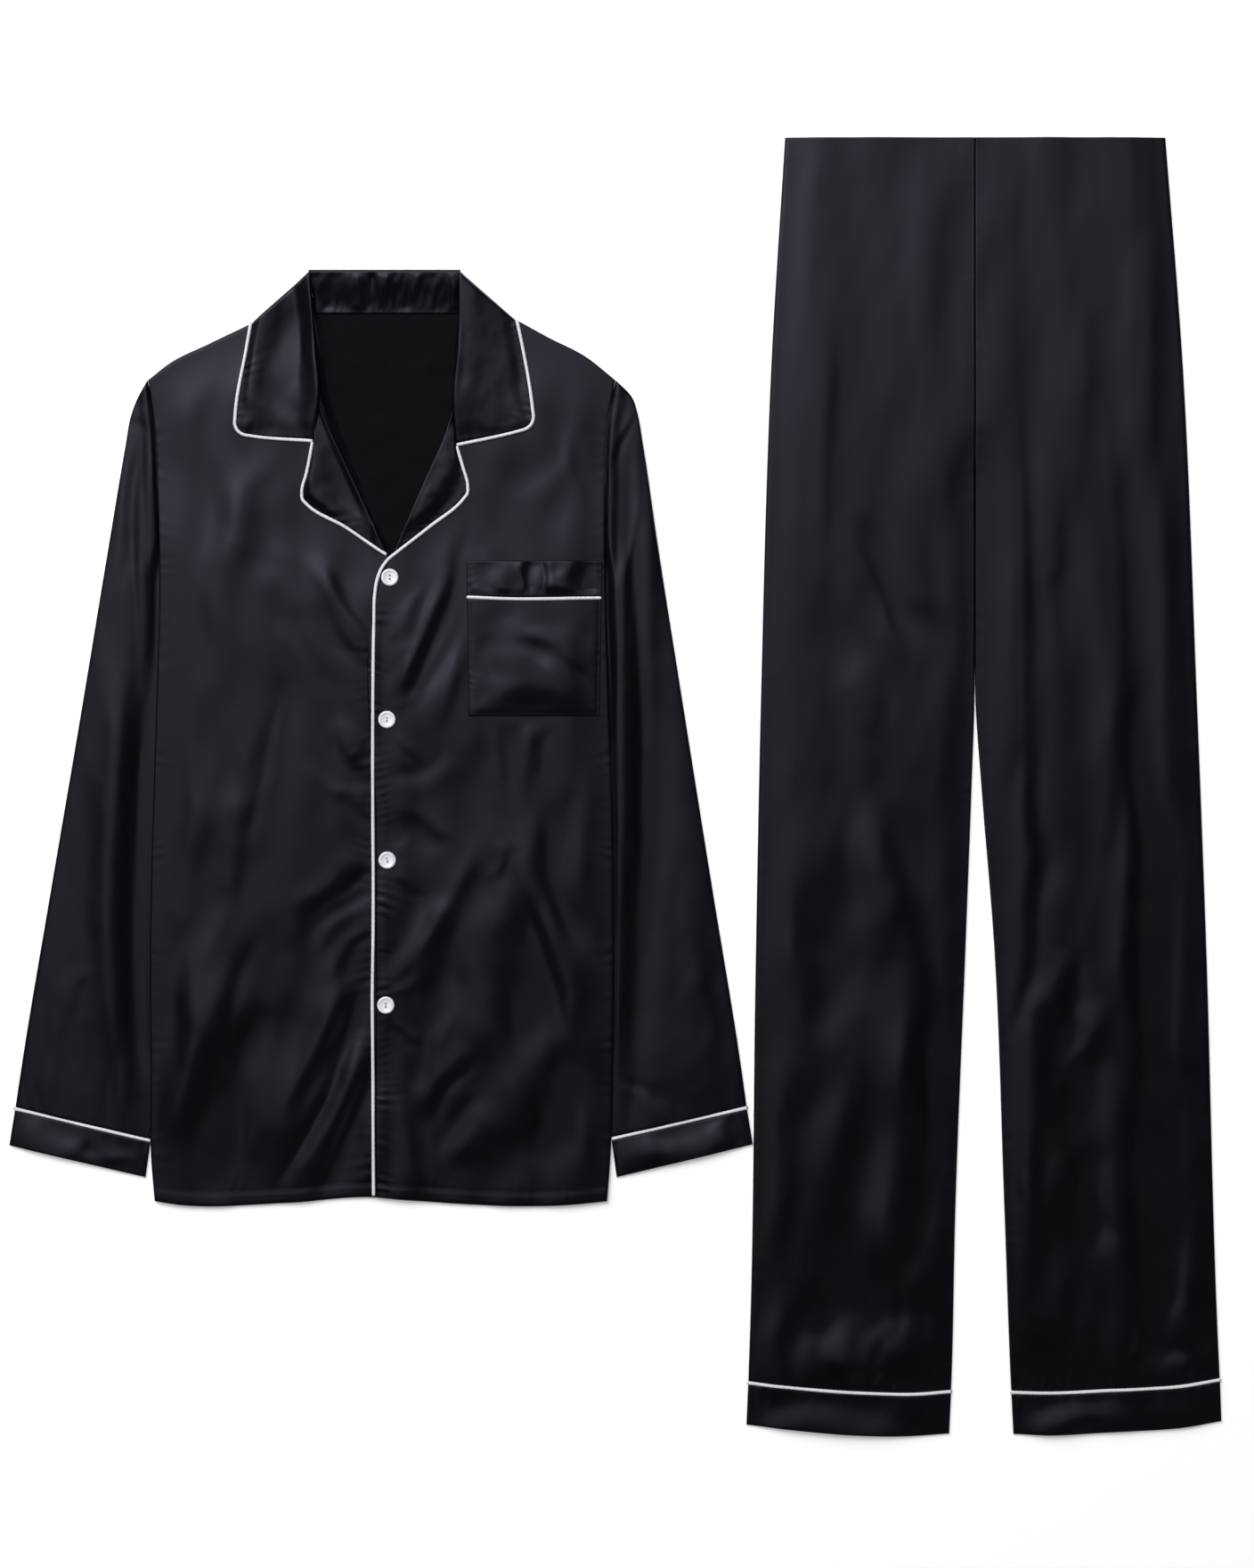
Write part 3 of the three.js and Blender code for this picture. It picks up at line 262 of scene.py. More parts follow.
CUFF_FOLDS = (
    (-298, 63, -240, 50, 0, 22, 18.2), (-229, 43, -202, 37, 0, 16, 8.3), (-240, 63, -243, 39, 0, -23, 6.6),
    (177, 39, 285, 62, 0, 22, 18.2), (278, 69, 282, 43, 0, -23, 7.5), (223, 58, 226, 29, 0, -12, 5.8),
)
SLEEVE_FOLDS_RIGHT = (
    (-204, 418, -202, 89, -2.9, -51, 16.6), (-196, 612, -196, 425, -2.2, 23, 7.5),
    (-186, 583, -184, 324, -0.7, -25, 3.3), (-246, 338, -265, 243, -2.9, -12, 9.1),
    (-235, 187, -251, 151, -2.2, -13, 7.5), (-204, 636, -186, 624, 1.4, -18, 4.1),
    (-202, 647, -183, 636, 1.4, 14, 4.1), (-201, 612, -212, 511, -2.2, -18, 6.6),
    (-266, 158, -281, 86, -1.4, 12, 8.3), (-213, 122, -217, 59, -1.4, 18, 6.6),
)
SLEEVE_FOLDS_LEFT = (
    (200, 425, 190, 86, 3.6, -51, 16.6), (206, 569, 210, 324, 2.2, 27, 8.3),
    (186, 569, 184, 324, 0.7, -23, 3.3), (204, 638, 182, 589, -2.2, -28, 4.1),
    (194, 651, 177, 606, -2.2, 23, 4.1), (204, 612, 197, 511, 2.2, 23, 5),
    (197, 533, 197, 432, 0.7, -18, 4.1), (259, 194, 271, 122, 2.2, -16, 11.6),
    (194, 96, 222, 73, 2.2, 19, 5.8), (203, 122, 194, 63, 1.4, -17, 5), (239, 259, 249, 166, 1.4, 12, 11.6),
)
LEG_FOLDS = (
    (-116, 904, -121, 719, 1.4, -7, 7.5), (-132, 902, -137, 701, 1.4, 6, 15.1),
    (-97, 734, -55, 637, -2.9, -17, 12.9), (-79, 738, -40, 656, -2.9, 12, 14),
    (-113, 701, -80, 627, -2.9, 11, 15.1), (-83, 625, -70, 570, -2.2, -10, 12.9),
    (-24, 1039, -19, 827, -1.4, -4, 19.4), (-47, 1032, -40, 816, -1.4, 4, 23.7),
    (-155, 1032, -162, 787, -2.2, 4, 28), (-99, 1035, -103, 901, -1.4, -4, 17.2),
    (-76, 498, -38, 339, 5.8, -23, 18.3), (-42, 356, -47, 149, 3.6, -31, 20.5),
    (-68, 328, -79, 78, -4.3, 26, 24.8), (-97, 515, -86, 411, 2.9, 16, 19.4),
    (-140, 414, -132, 323, -2.2, -15, 17.2), (-155, 513, -171, 368, -3.6, 13, 23.7),
    (-135, 299, -155, 150, -3.6, -16, 21.5), (-163, 269, -175, 136, -2.2, 15, 15.1),
    (-142, 112, -161, 37, -2.9, -23, 18.3), (-35, 127, -32, 47, -1.4, 18, 11.8),
    (-55, 140, -57, 78, -1.4, 16, 9.7), (-122, 99, -111, 44, -1.4, 22, 18.3),
    (-79, 83, -76, 37, -1.4, -16, 10.8), (-176, 703, -180, 611, -2.2, -9, 12.9),
    (-165, 732, -168, 614, -2.2, 7, 12.9), (-18, 758, -15, 611, -1.4, 7, 17.2),
    (-35, 312, -32, 225, -1.4, 15, 9.7), (37, 811, 43, 525, 2.2, -13, 7.5),
    (43, 544, 48, 438, 1.4, -31, 9.7), (48, 450, 22, 313, 5, -24, 10.8), (24, 801, 27, 542, 1.4, 8, 11.8),
    (54, 801, 61, 513, 2.2, 7, 12.9), (112, 832, 123, 510, 2.2, -11, 12.9),
    (125, 544, 131, 294, 2.2, -36, 17.2), (130, 313, 127, 57, 2.2, -35, 22.6),
    (94, 701, 102, 440, 2.2, 12, 16.1), (140, 758, 152, 438, 2.2, 12, 18.3),
    (155, 443, 163, 78, 2.9, 22, 19.4), (129, 1049, 130, 842, -0.7, -5, 6.5),
    (112, 1039, 108, 859, -1.4, 4, 23.7), (96, 911, 91, 836, -0.7, -5, 10.8),
    (68, 738, 73, 692, -0.7, -7, 9.7), (78, 391, 81, 338, -1.4, -24, 11.8),
    (76, 303, 87, 355, -1.4, 14, 12.9), (68, 260, 106, 341, -2.9, -14, 12.9),
    (77, 227, 95, 158, -2.2, -20, 11.8), (61, 234, 69, 122, -2.2, 18, 15.1),
    (50, 248, 43, 86, -2.2, -20, 9.7), (12, 498, 19, 424, -1.4, -22, 8.6),
    (35, 212, 39, 186, -0.7, 18, 7.5), (156, 110, 140, 51, -2.2, 18, 12.9),
    (179, 70, 192, 44, -1.4, 18, 12.9), (169, 227, 178, 94, -2.2, -13, 15.1),
    (30, 1032, 37, 859, -1.4, -4, 17.2), (73, 139, 80, 53, -1.4, -13, 12.9),
    (-184, 86, 1, 81, 4.3, 14, 32.3), (-186, 19, -61, 15, 0, 21, 23.7), (-68, 15, -22, 15, 0, -7, 10.8),
    (11, 18, 116, 21, 0, 26, 23.7), (112, 21, 191, 27, 0, 6, 10.8), (148, 60, 194, 67, 2.2, 18, 12.9),
    (25, 53, 54, 50, 0, 13, 8.6), (68, 348, 61, 96, -2.9, -16, 43.1), (-61, 333, -66, 139, -2.9, -16, 43.1),
)

SIDES = ("right", "left")
OUT = {"right": -1, "left": 1}


# Shapes.


def ease(share):
    share = np.clip(share, 0, 1)
    return share * share * (3 - 2 * share)


def through(points, shares):
    """Places at shares of the length of a smooth curve through points."""
    points = np.array(points, float)
    gaps = np.hypot(*np.diff(points, axis=0).T)
    reached = np.concatenate([[0], np.cumsum(gaps)])
    slopes = np.diff(points, axis=0) / gaps[:, None]
    tangents = np.concatenate([slopes[:1], slopes[:-1], slopes[-1:]])[: len(points)]
    tangents[-1] = slopes[-1]
    if len(points) > 2:
        before = gaps[:-1, None]
        after = gaps[1:, None]
        tangents[1:-1] = (slopes[:-1] * after + slopes[1:] * before) / (before + after)
    fine = np.linspace(0, reached[-1], 24 * len(points))
    i = np.clip(np.searchsorted(reached, fine, side="right") - 1, 0, len(gaps) - 1)
    gap = gaps[i][:, None]
    t = (fine[:, None] - reached[i][:, None]) / gap
    start = (1 + 2 * t) * (1 - t) ** 2 * points[i] + t * (1 - t) ** 2 * gap * tangents[i]
    end = t * t * (3 - 2 * t) * points[i + 1] + t * t * (t - 1) * gap * tangents[i + 1]
    curve = start + end
    length = np.concatenate([[0], np.cumsum(np.hypot(*np.diff(curve, axis=0).T))])
    goal = np.asarray(shares) * length[-1]
    return np.stack([np.interp(goal, length, curve[:, 0]), np.interp(goal, length, curve[:, 1])], axis=-1)


def x_on(points):
    """A function that gives the x of a line of points at a height."""
    dense = through(points, np.linspace(0, 1, 400))
    order = np.argsort(dense[:, 1])
    return lambda y: np.interp(y, dense[order, 1], dense[order, 0])


def y_on(points):
    dense = through(points, np.linspace(0, 1, 400))
    order = np.argsort(dense[:, 0])
    return lambda x: np.interp(x, dense[order, 0], dense[order, 1])


def stops(length, step, rim=(0.3, 0.7, 1.2, 1.9)):
    """Shares from 0 to 1 about step mm apart, with closer ones at both ends."""
    inner = np.linspace(rim[-1], length - rim[-1], max(2, round(length / step)))
    near = np.array((0,) + tuple(rim[:-1]))
    return np.concatenate([near, inner, length - near[::-1]]) / length


def length_of(points):
    return float(np.hypot(*np.diff(np.array(points, float), axis=0).T).sum())


def stretched(low, high, minus, plus, across, up):
    """x and y of places between four edges that meet at their ends, by rows."""
    ends = [through(edge, across)[None] for edge in (low, high)]
    sides = [through(edge, up)[:, None] for edge in (minus, plus)]
    a = np.asarray(across)[None, :, None]
    u = np.asarray(up)[:, None, None]
    tips = [through(edge, (0, 1)) for edge in (low, high)]
    corners = (tips[0][0] * (1 - a) + tips[0][1] * a) * (1 - u) + (tips[1][0] * (1 - a) + tips[1][1] * a) * u
    places = sides[0] * (1 - a) + sides[1] * a + ends[0] * (1 - u) + ends[1] * u - corners
    return places[..., 0], places[..., 1]


def edge_distances(x, y):
    """Distance of each place of a grid from its minus, plus, low and high edge."""
    rows = np.hypot(np.diff(x, axis=1), np.diff(y, axis=1))
    columns = np.hypot(np.diff(x, axis=0), np.diff(y, axis=0))
    minus = np.pad(np.cumsum(rows, axis=1), ((0, 0), (1, 0)))
    low = np.pad(np.cumsum(columns, axis=0), ((1, 0), (0, 0)))
    return minus, minus[:, -1:] - minus, low, low[-1:] - low


def rounded(distance, radius):
    """0 at an edge and 1 past radius, as the outline of a quarter circle."""
    left = 1 - np.clip(distance / radius, 0, 1)
    return np.sqrt(np.maximum(0, 1 - left * left))


def turned_down(z, distance, depth, radius, share=1):
    """Height z, rolled down by depth over a radius beside an edge."""
    return z - depth * (1 - rounded(distance, radius)) * share


def nearest(*distances):
    """Distance from the nearest of some edges."""
    return np.minimum.reduce(distances)


def folds_at(folds, x, y):
    """Height of the listed folds. Each is a ridge beside a trough, uneven in width, faded at its ends."""
    total = np.zeros_like(x)
    for number, (x1, y1, x2, y2, bow, slope, width) in enumerate(folds):
        reach = math.hypot(x2 - x1, y2 - y1)
        dx = (x2 - x1) / reach
        dy = (y2 - y1) / reach
        share = ((x - x1) * dx + (y - y1) * dy) / reach
        held = np.clip(share, 0, 1)
        middle = 4 * bow * held * (1 - held) + 0.16 * width * np.sin(7 * held + 2.1 * number)
        aside = (x - x1) * -dy + (y - y1) * dx - middle
        spread = width * (1 + 0.22 * np.sin(4.4 * held + 1.3 * number))
        lean = np.where(aside > 0, 1 + 0.35 * math.sin(number), 1 - 0.35 * math.sin(number))
        fade = ease((share + 0.16) / 0.42) * ease((1.16 - share) / 0.42)
        from_light = 1 if -dy * TO_LIGHT[0] + dx * TO_LIGHT[1] < 0 else -1
        total += from_light * slope / 100 * aside * fade * np.exp(-((aside / (spread * lean)) ** 2))
    return total


def swell(x, y, size, depth, seed):
    """Slow uneven rise and fall, size mm long and depth mm high."""
    total = np.zeros_like(x)
    for turn in range(6):
        angle = seed + 2.4 * turn
        along = x * math.cos(angle) + y * math.sin(angle)
        aside = y * math.cos(angle) - x * math.sin(angle)
        reach = size * (0.85 + 0.4 * math.sin(1.7 * turn + seed)) / (2 * math.pi)
        total += np.sin(along / reach + 1.1 * np.sin(aside / (1.7 * reach) + turn) + 1.9 * turn * seed)
    return depth * total / 2.4


def puckers(distance, along, height, pitch=6.4, reach=7.0, seed=0.0):
    """Small gathers that a row of sewing pulls into the cloth, strongest just beside it."""
    slant = along + 0.35 * distance * np.sin(along / 31 + seed)
    wave = np.sin(2 * math.pi * slant / pitch + 2.1 * np.sin(along / 17 + seed) + 1.1 * np.sin(along / 5.1))
    uneven = np.maximum(0.45 + 0.8 * np.sin(along / 23 + 2.3 * seed) * np.sin(along / 8.3 + seed), 0.12)
    return height * wave * uneven * np.exp(-distance / reach) * ease(distance / 1.2)


def kept_above(z, floor, bend=0.8):
    """Height z, bending softly where it would fall below floor."""
    over = z - floor
    return floor + 0.5 * (over + np.sqrt(over * over + bend * bend))


def outside(outline, x, y):
    """Distance to a closed outline from places outside it, and 0 inside."""
    closest = np.full_like(x, 1e9)
    inside = np.zeros(x.shape, bool)
    for (x1, y1), (x2, y2) in zip(outline, outline[1:] + outline[:1]):
        dx = x2 - x1
        dy = y2 - y1
        crosses = (y1 > y) != (y2 > y)
        if dy:
            inside ^= crosses & (x < dx * (y - y1) / dy + x1)
        share = np.clip(((x - x1) * dx + (y - y1) * dy) / (dx ** 2 + dy ** 2), 0, 1)
        closest = np.minimum(closest, np.hypot(x - x1 - dx * share, y - y1 - dy * share))
    return np.where(inside, 0, closest)


def grid_of(x, y, z, at, grain=None, shape=None):
    """A bmesh grid laid on places in mm given by rows. Its UV map is the cloth's own grain, in metres."""
    rows, columns = x.shape
    shape = shape or bmesh.new()
    made = bmesh.ops.create_grid(shape, x_segments=columns - 1, y_segments=rows - 1, size=1)["verts"]
    weave = shape.loops.layers.uv.get("grain") or shape.loops.layers.uv.new("grain")
    u, v = grain if grain is not None else (x, y)
    u = (u * MM).ravel().tolist()
    v = (v * MM).ravel().tolist()
    places = (np.stack([x + at[0], y + at[1], z], axis=-1).reshape(-1, 3) * MM).tolist()
    number = {}
    for vert in made:
        column = round((vert.co.x + 1) / 2 * (columns - 1))
        row = round((vert.co.y + 1) / 2 * (rows - 1))
        number[vert] = row * columns + column
    faces = {face for vert in made for face in vert.link_faces}
    for face in faces:
        face.smooth = True
        for loop in face.loops:
            at_place = number[loop.vert]
            loop[weave].uv = (u[at_place], v[at_place])
    for vert, index in number.items():
        vert.co = places[index]
    return shape


def object_from(name, shape, material=None):
    """An object at the origin from a bmesh."""
    mesh = bpy.data.meshes.new(name)
    shape.to_mesh(mesh)
    shape.free()
    if material is not None:
        mesh.materials.append(material)
    made = bpy.data.objects.new(name, mesh)
    bpy.context.scene.collection.objects.link(made)
    return made


def piece_from(name, shape, material, turn_out=False, merge=0.0):
    """A piece of the set from a bmesh, riding with it. merge is how close doubles lie, in mm."""
    if merge:
        bmesh.ops.remove_doubles(shape, verts=shape.verts, dist=merge * MM)
    if turn_out:
        bmesh.ops.recalc_face_normals(shape, faces=shape.faces)
    piece = object_from(name, shape, material)
    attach(piece, "root")
    return piece


def give_wall(piece, thickness=CLOTH):
    wall = piece.modifiers.new("wall of cloth", "SOLIDIFY")
    wall.thickness = thickness * MM
    wall.offset = -1
    wall.use_even_offset = False


def lay_flat(node):
    """Hides the CAD node that a flat-lying sheet of cloth stands for."""
    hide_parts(node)


def surface_of(piece):
    """The piece's upper surface, to lay other pieces on."""
    shape = bmesh.new()
    shape.from_mesh(piece.data)
    tree = BVHTree.FromBMesh(shape)
    shape.free()
    return tree


def top_at(trees, at, x, y, fallback=0.0, around=0.0):
    """Highest of some surfaces at a place of a garment, and round it where around is given, in mm."""
    highest = None
    spots = [(0, 0)]
    if around:
        spots += [(around * math.cos(k * math.pi / 3), around * math.sin(k * math.pi / 3)) for k in range(6)]
    for dx, dy in spots:
        start = Vector(((x + dx + at[0]) * MM, (y + dy + at[1]) * MM, 0.1))
        for tree in trees:
            hit = tree.ray_cast(start, Vector((0, 0, -1)))[0]
            if hit is not None and (highest is None or hit.z / MM > highest):
                highest = hit.z / MM
    return fallback if highest is None else highest


def evened(values, passes):
    """A row of values with each moved towards its neighbours' mean."""
    values = np.array(values, float)
    for _ in range(passes):
        values[1:-1] = 0.25 * values[:-2] + 0.5 * values[1:-1] + 0.25 * values[2:]
    return values


# Finishes.


def linear(colour):
    """An sRGB hex colour as linear RGBA."""
    parts = [int(colour[i : i + 2], 16) / 255 for i in (1, 3, 5)]
    return tuple(c / 12.92 if c <= 0.04045 else ((c + 0.055) / 1.055) ** 2.4 for c in parts) + (1.0,)


def add_node(tree, kind, links=(), **settings):
    """A node of a kind. Settings are its own properties, or sockets where a name has a capital letter."""
    node = tree.nodes.new(kind)
    for key, value in settings.items():
        if key[0].isupper():
            node.inputs[key.replace("_", " ")].default_value = value
        else:
            setattr(node, key, value)
    for socket, source in links:
        tree.links.new(source, node.inputs[socket])
    return node


def new_finish(name, **sockets):
    """A material with its main shader, whose even values are set on its own sockets."""
    finish = bpy.data.materials.new(name)
    finish.use_nodes = True
    tree = finish.node_tree
    tree.nodes.clear()
    shader = add_node(tree, "ShaderNodeBsdfPrincipled")
    for key, value in sockets.items():
        shader.inputs[key.replace("_", " ")].default_value = value
    add_node(tree, "ShaderNodeOutputMaterial", [("Surface", shader.outputs["BSDF"])])
    return finish, tree, shader


def woven_satin(name, dark, light, rough, specular, weave_depth, crumple_depth, slant=0.0, tint="#ffffff"):
    """Polyester satin, warp-faced: long floats lie side by side, so it shines softly and more across them.

    Threads are about 0.1 mm apart, too fine to show, so the weave is drawn 0.5 mm apart and faint.
    """
    finish, tree, shader = new_finish(
        name, Specular_IOR_Level=specular, Specular_Tint=linear(tint), IOR=1.5, Anisotropic=0.3
    )
    grain = add_node(tree, "ShaderNodeUVMap", uv_map="grain")
    turned = add_node(tree, "ShaderNodeMapping", [("Vector", grain.outputs["UV"])], Rotation=(0, 0, slant))
    on_cloth = [("Vector", turned.outputs["Vector"])]
    floats = add_node(tree, "ShaderNodeMapping", on_cloth, Scale=(2000, 160, 1))  # 0.5 mm wide and 6 mm long
    along_floats = [("Vector", floats.outputs["Vector"])]
    slubs = add_node(tree, "ShaderNodeTexNoise", along_floats, Scale=1.0, Detail=2.0)
    blotches = add_node(tree, "ShaderNodeTexNoise", on_cloth, Scale=22.0, Detail=4.0, Roughness=0.6)  # 45 mm
    mixed = add_node(tree, "ShaderNodeMath", operation="MULTIPLY_ADD")
    tree.links.new(slubs.outputs["Fac"], mixed.inputs[0])
    mixed.inputs[1].default_value = 0.45
    tree.links.new(blotches.outputs["Fac"], mixed.inputs[2])
    colour = add_node(tree, "ShaderNodeValToRGB", [("Fac", mixed.outputs["Value"])])
    colour.color_ramp.elements[0].position = 0.4
    colour.color_ramp.elements[0].color = linear(dark)
    colour.color_ramp.elements[1].position = 1.0
    colour.color_ramp.elements[1].color = linear(light)
    tree.links.new(colour.outputs["Color"], shader.inputs["Base Color"])
    mix = [("Value", mixed.outputs["Value"])]
    gloss = add_node(tree, "ShaderNodeMapRange", mix, From_Min=0.4, From_Max=1.0)
    gloss.inputs["To Min"].default_value = rough - 0.05
    gloss.inputs["To Max"].default_value = rough + 0.06
    tree.links.new(gloss.outputs["Result"], shader.inputs["Roughness"])
    crumple = add_node(tree, "ShaderNodeTexNoise", on_cloth, Scale=70.0, Detail=3.0, Roughness=0.55)  # 14 mm
    relief = [("Height", crumple.outputs["Fac"])]
    soft = add_node(tree, "ShaderNodeBump", relief, Strength=1.0, Distance=crumple_depth * MM)
    relief = [("Height", slubs.outputs["Fac"]), ("Normal", soft.outputs["Normal"])]
    woven = add_node(tree, "ShaderNodeBump", relief, Strength=1.0, Distance=weave_depth * MM)
    tree.links.new(woven.outputs["Normal"], shader.inputs["Normal"])
    along = add_node(tree, "ShaderNodeTangent", direction_type="UV_MAP", uv_map="grain")
    tree.links.new(along.outputs["Tangent"], shader.inputs["Tangent"])
    return finish


def pearl_resin():
    """Cast polyester resin with pearl in it, tumbled smooth: pale, faintly clouded, softly glossy."""
    gloss = {"Roughness": 0.24, "Specular_IOR_Level": 0.5, "Coat_Weight": 0.25, "Coat_Roughness": 0.12}
    finish, tree, shader = new_finish("pearl resin, cast and tumbled", **gloss)
    places = [("Vector", add_node(tree, "ShaderNodeTexCoord").outputs["Object"])]
    clouds = add_node(tree, "ShaderNodeTexNoise", places, Scale=260.0, Detail=3.0, Distortion=1.4)  # 4 mm
    colour = add_node(tree, "ShaderNodeValToRGB", [("Fac", clouds.outputs["Fac"])])
    colour.color_ramp.elements[0].position = 0.3
    colour.color_ramp.elements[0].color = linear("#cfd0d8")
    colour.color_ramp.elements[1].position = 0.72
    colour.color_ramp.elements[1].color = linear("#e9e9ef")
    tree.links.new(colour.outputs["Color"], shader.inputs["Base Color"])
    return finish


def spun_thread(name, colour, pale):
    """Spun polyester sewing thread: matt, with its twist as fine slanting lines 0.4 mm apart."""
    finish, tree, shader = new_finish(name, Roughness=0.7, Specular_IOR_Level=0.25)
    places = [("Vector", add_node(tree, "ShaderNodeTexCoord").outputs["Object"])]
    twist = add_node(
        tree, "ShaderNodeTexWave", places, bands_direction="DIAGONAL", Scale=400.0, Distortion=1.0
    )
    tone = add_node(tree, "ShaderNodeValToRGB", [("Fac", twist.outputs["Fac"])])
    tone.color_ramp.elements[0].color = linear(colour)
    tone.color_ramp.elements[1].color = linear(pale)
    tree.links.new(tone.outputs["Color"], shader.inputs["Base Color"])
    return finish


PRESSED = "black polyester satin, woven and pressed"
SATIN = woven_satin(PRESSED, "#040406", "#070709", 0.33, 0.185, 0.006, 0.012, tint="#e2e4ff")
REVERSE = woven_satin("reverse of the black satin, matt", "#08080b", "#0b0b0f", 0.6, 0.03, 0.012, 0.03)
WHITE = woven_satin("white satin piping, cut on the bias", "#cdcdd5", "#e6e6ec", 0.42, 0.3, 0.02, 0.1, 0.785)
PEARL = pearl_resin()
BLACK_THREAD = spun_thread("black spun thread", "#050507", "#131318")
WHITE_THREAD = spun_thread("white spun thread", "#a9a9b2", "#d6d6de")

# Where the layers of the jacket lie.

RIGHT_SIDE = x_on([(row[1], row[0]) for row in BODY_SIDES])
LEFT_SIDE = x_on([(row[2], row[0]) for row in BODY_SIDES])
SIDE_OF = {"right": RIGHT_SIDE, "left": LEFT_SIDE}
HEM_AT = y_on(HEM)
SHOULDER_AT = {side: y_on(SHOULDER[side]) for side in SIDES}


def sleeve_under_body(side):
    """The part of a sleeve that lies under the body."""
    out = OUT[side]
    seam = SLEEVES[side]["seam"][1]
    return [
        (float(SIDE_OF[side](UNDERARM_Y)), UNDERARM_Y),
        SLEEVES[side]["elbow"],
        seam,
        SLEEVES[side]["hem"][1],
        (seam[0] + out * 9, 90),
        (float(SIDE_OF[side](240)) + out * 4, 240),
    ]


def back_top(x, y):
    """Height of the back's upper side: it lies on the table, or on a sleeve."""
    reach = np.minimum(outside(sleeve_under_body("right"), x, y), outside(sleeve_under_body("left"), x, y))
    return BACK_TOP + SLEEVE_LIFT * (1 - ease((reach - 14) / 80))


def front_top(x, y, folds=True):
    """Height of the fronts' upper side, down on the back at the side and shoulder seams."""
    side = np.minimum(x - RIGHT_SIDE(y), LEFT_SIDE(y) - x)
    shoulder = np.where(x < 0, SHOULDER_AT["right"](x), SHOULDER_AT["left"](x)) - y
    rise = ease(side / EDGE_RISE) * ease(shoulder / SHOULDER_RISE)
    loft = LOFT + swell(x, 0.6 * y, 90, 0.6, 1.3) * rise
    lively = 0.4 + 0.6 * ease((470 - y) / 260)
    if folds:
        calm = under_collar(x, y)
        loft = loft + folds_at(FRONT_FOLDS, x, y) * calm
        loft = loft + (swell(x, 0.42 * y, 66, 0.4, 5.2) + swell(x, 0.5 * y, 34, 0.09, 4.1)) * calm * lively
    return back_top(x, y) + FRONT_ABOVE + rise * kept_above(loft, 0.4)


def under_collar(x, y):
    """1 where a front is bare, and less where the collar, a lapel or the pocket presses it flat."""
    pressed = 1 - ease((y - 560) / 60) * ease((150 - np.abs(x)) / 30)
    right, left = POCKET["right"], POCKET["left"]
    low, high = POCKET["bottom"], POCKET["top"]
    from_pocket = outside([(right, low), (left, low), (left, high), (right, high)], x, y)
    return np.minimum(0.25 + 0.75 * pressed, 0.3 + 0.7 * ease(from_pocket / 14))


def hem_relief(low):
    """A hem turned up 11 mm: a little thicker, with its stitched line as a shallow dip."""
    turned = 0.35 * (1 - ease((low - 10) / 3)) * ease(low / 2)
    return turned - 0.4 * np.exp(-(((low - HEM_TURN) / 1.1) ** 2))


def on_right_front(x):
    """How far the left front is lifted by the right one under it."""
    return OVERLAP_LIFT * (1 - ease((x - OVERLAP_EDGE) / OVERLAP_STEP))


def make_back():
    """The back, a little inside the fronts' edges."""
    minus = [(right + BACK_TRIM, y) for y, right, _ in BODY_SIDES]
    plus = [(left - BACK_TRIM, y) for y, _, left in BODY_SIDES]
    low = [(x * 0.994, y + 1) for x, y in HEM]
    high = SHOULDER["right"] + NECK + SHOULDER["left"]
    x, y = stretched(low, high, minus, plus, stops(BODY_WIDTH, 4.4), stops(BODY_LENGTH, 4.4))
    inner = ease(nearest(*edge_distances(x, y)) / 30)
    z = back_top(x, y) + inner * (0.5 + swell(x, y, 60, 0.3, 2.7) + swell(x, y, 24, 0.12, 0.6))
    piece = piece_from("jacket_back_panel", grid_of(x, y, z, JACKET_AT), REVERSE)
    give_wall(piece)
    lay_flat("jacket_back")


def front_grid(side):
    """x and y rows of a front, from its hem to its shoulder seam."""
    edge = [list(point) for point in FRONT_EDGES[side]]
    edge[0][1] = float(HEM_AT(edge[0][0]))
    corner = tuple(edge[0])
    if side == "right":
        low = [point for point in HEM if point[0] < corner[0] - 4] + [corner]
        edges = ([(right, y) for y, right, _ in BODY_SIDES], edge)
    else:
        low = [corner] + [point for point in HEM if point[0] > corner[0] + 4]
        edges = (edge, [(left, y) for y, _, left in BODY_SIDES])
    return stretched(low, SHOULDER[side], *edges, stops(length_of(low), 2.2), stops(BODY_LENGTH, 2.2))


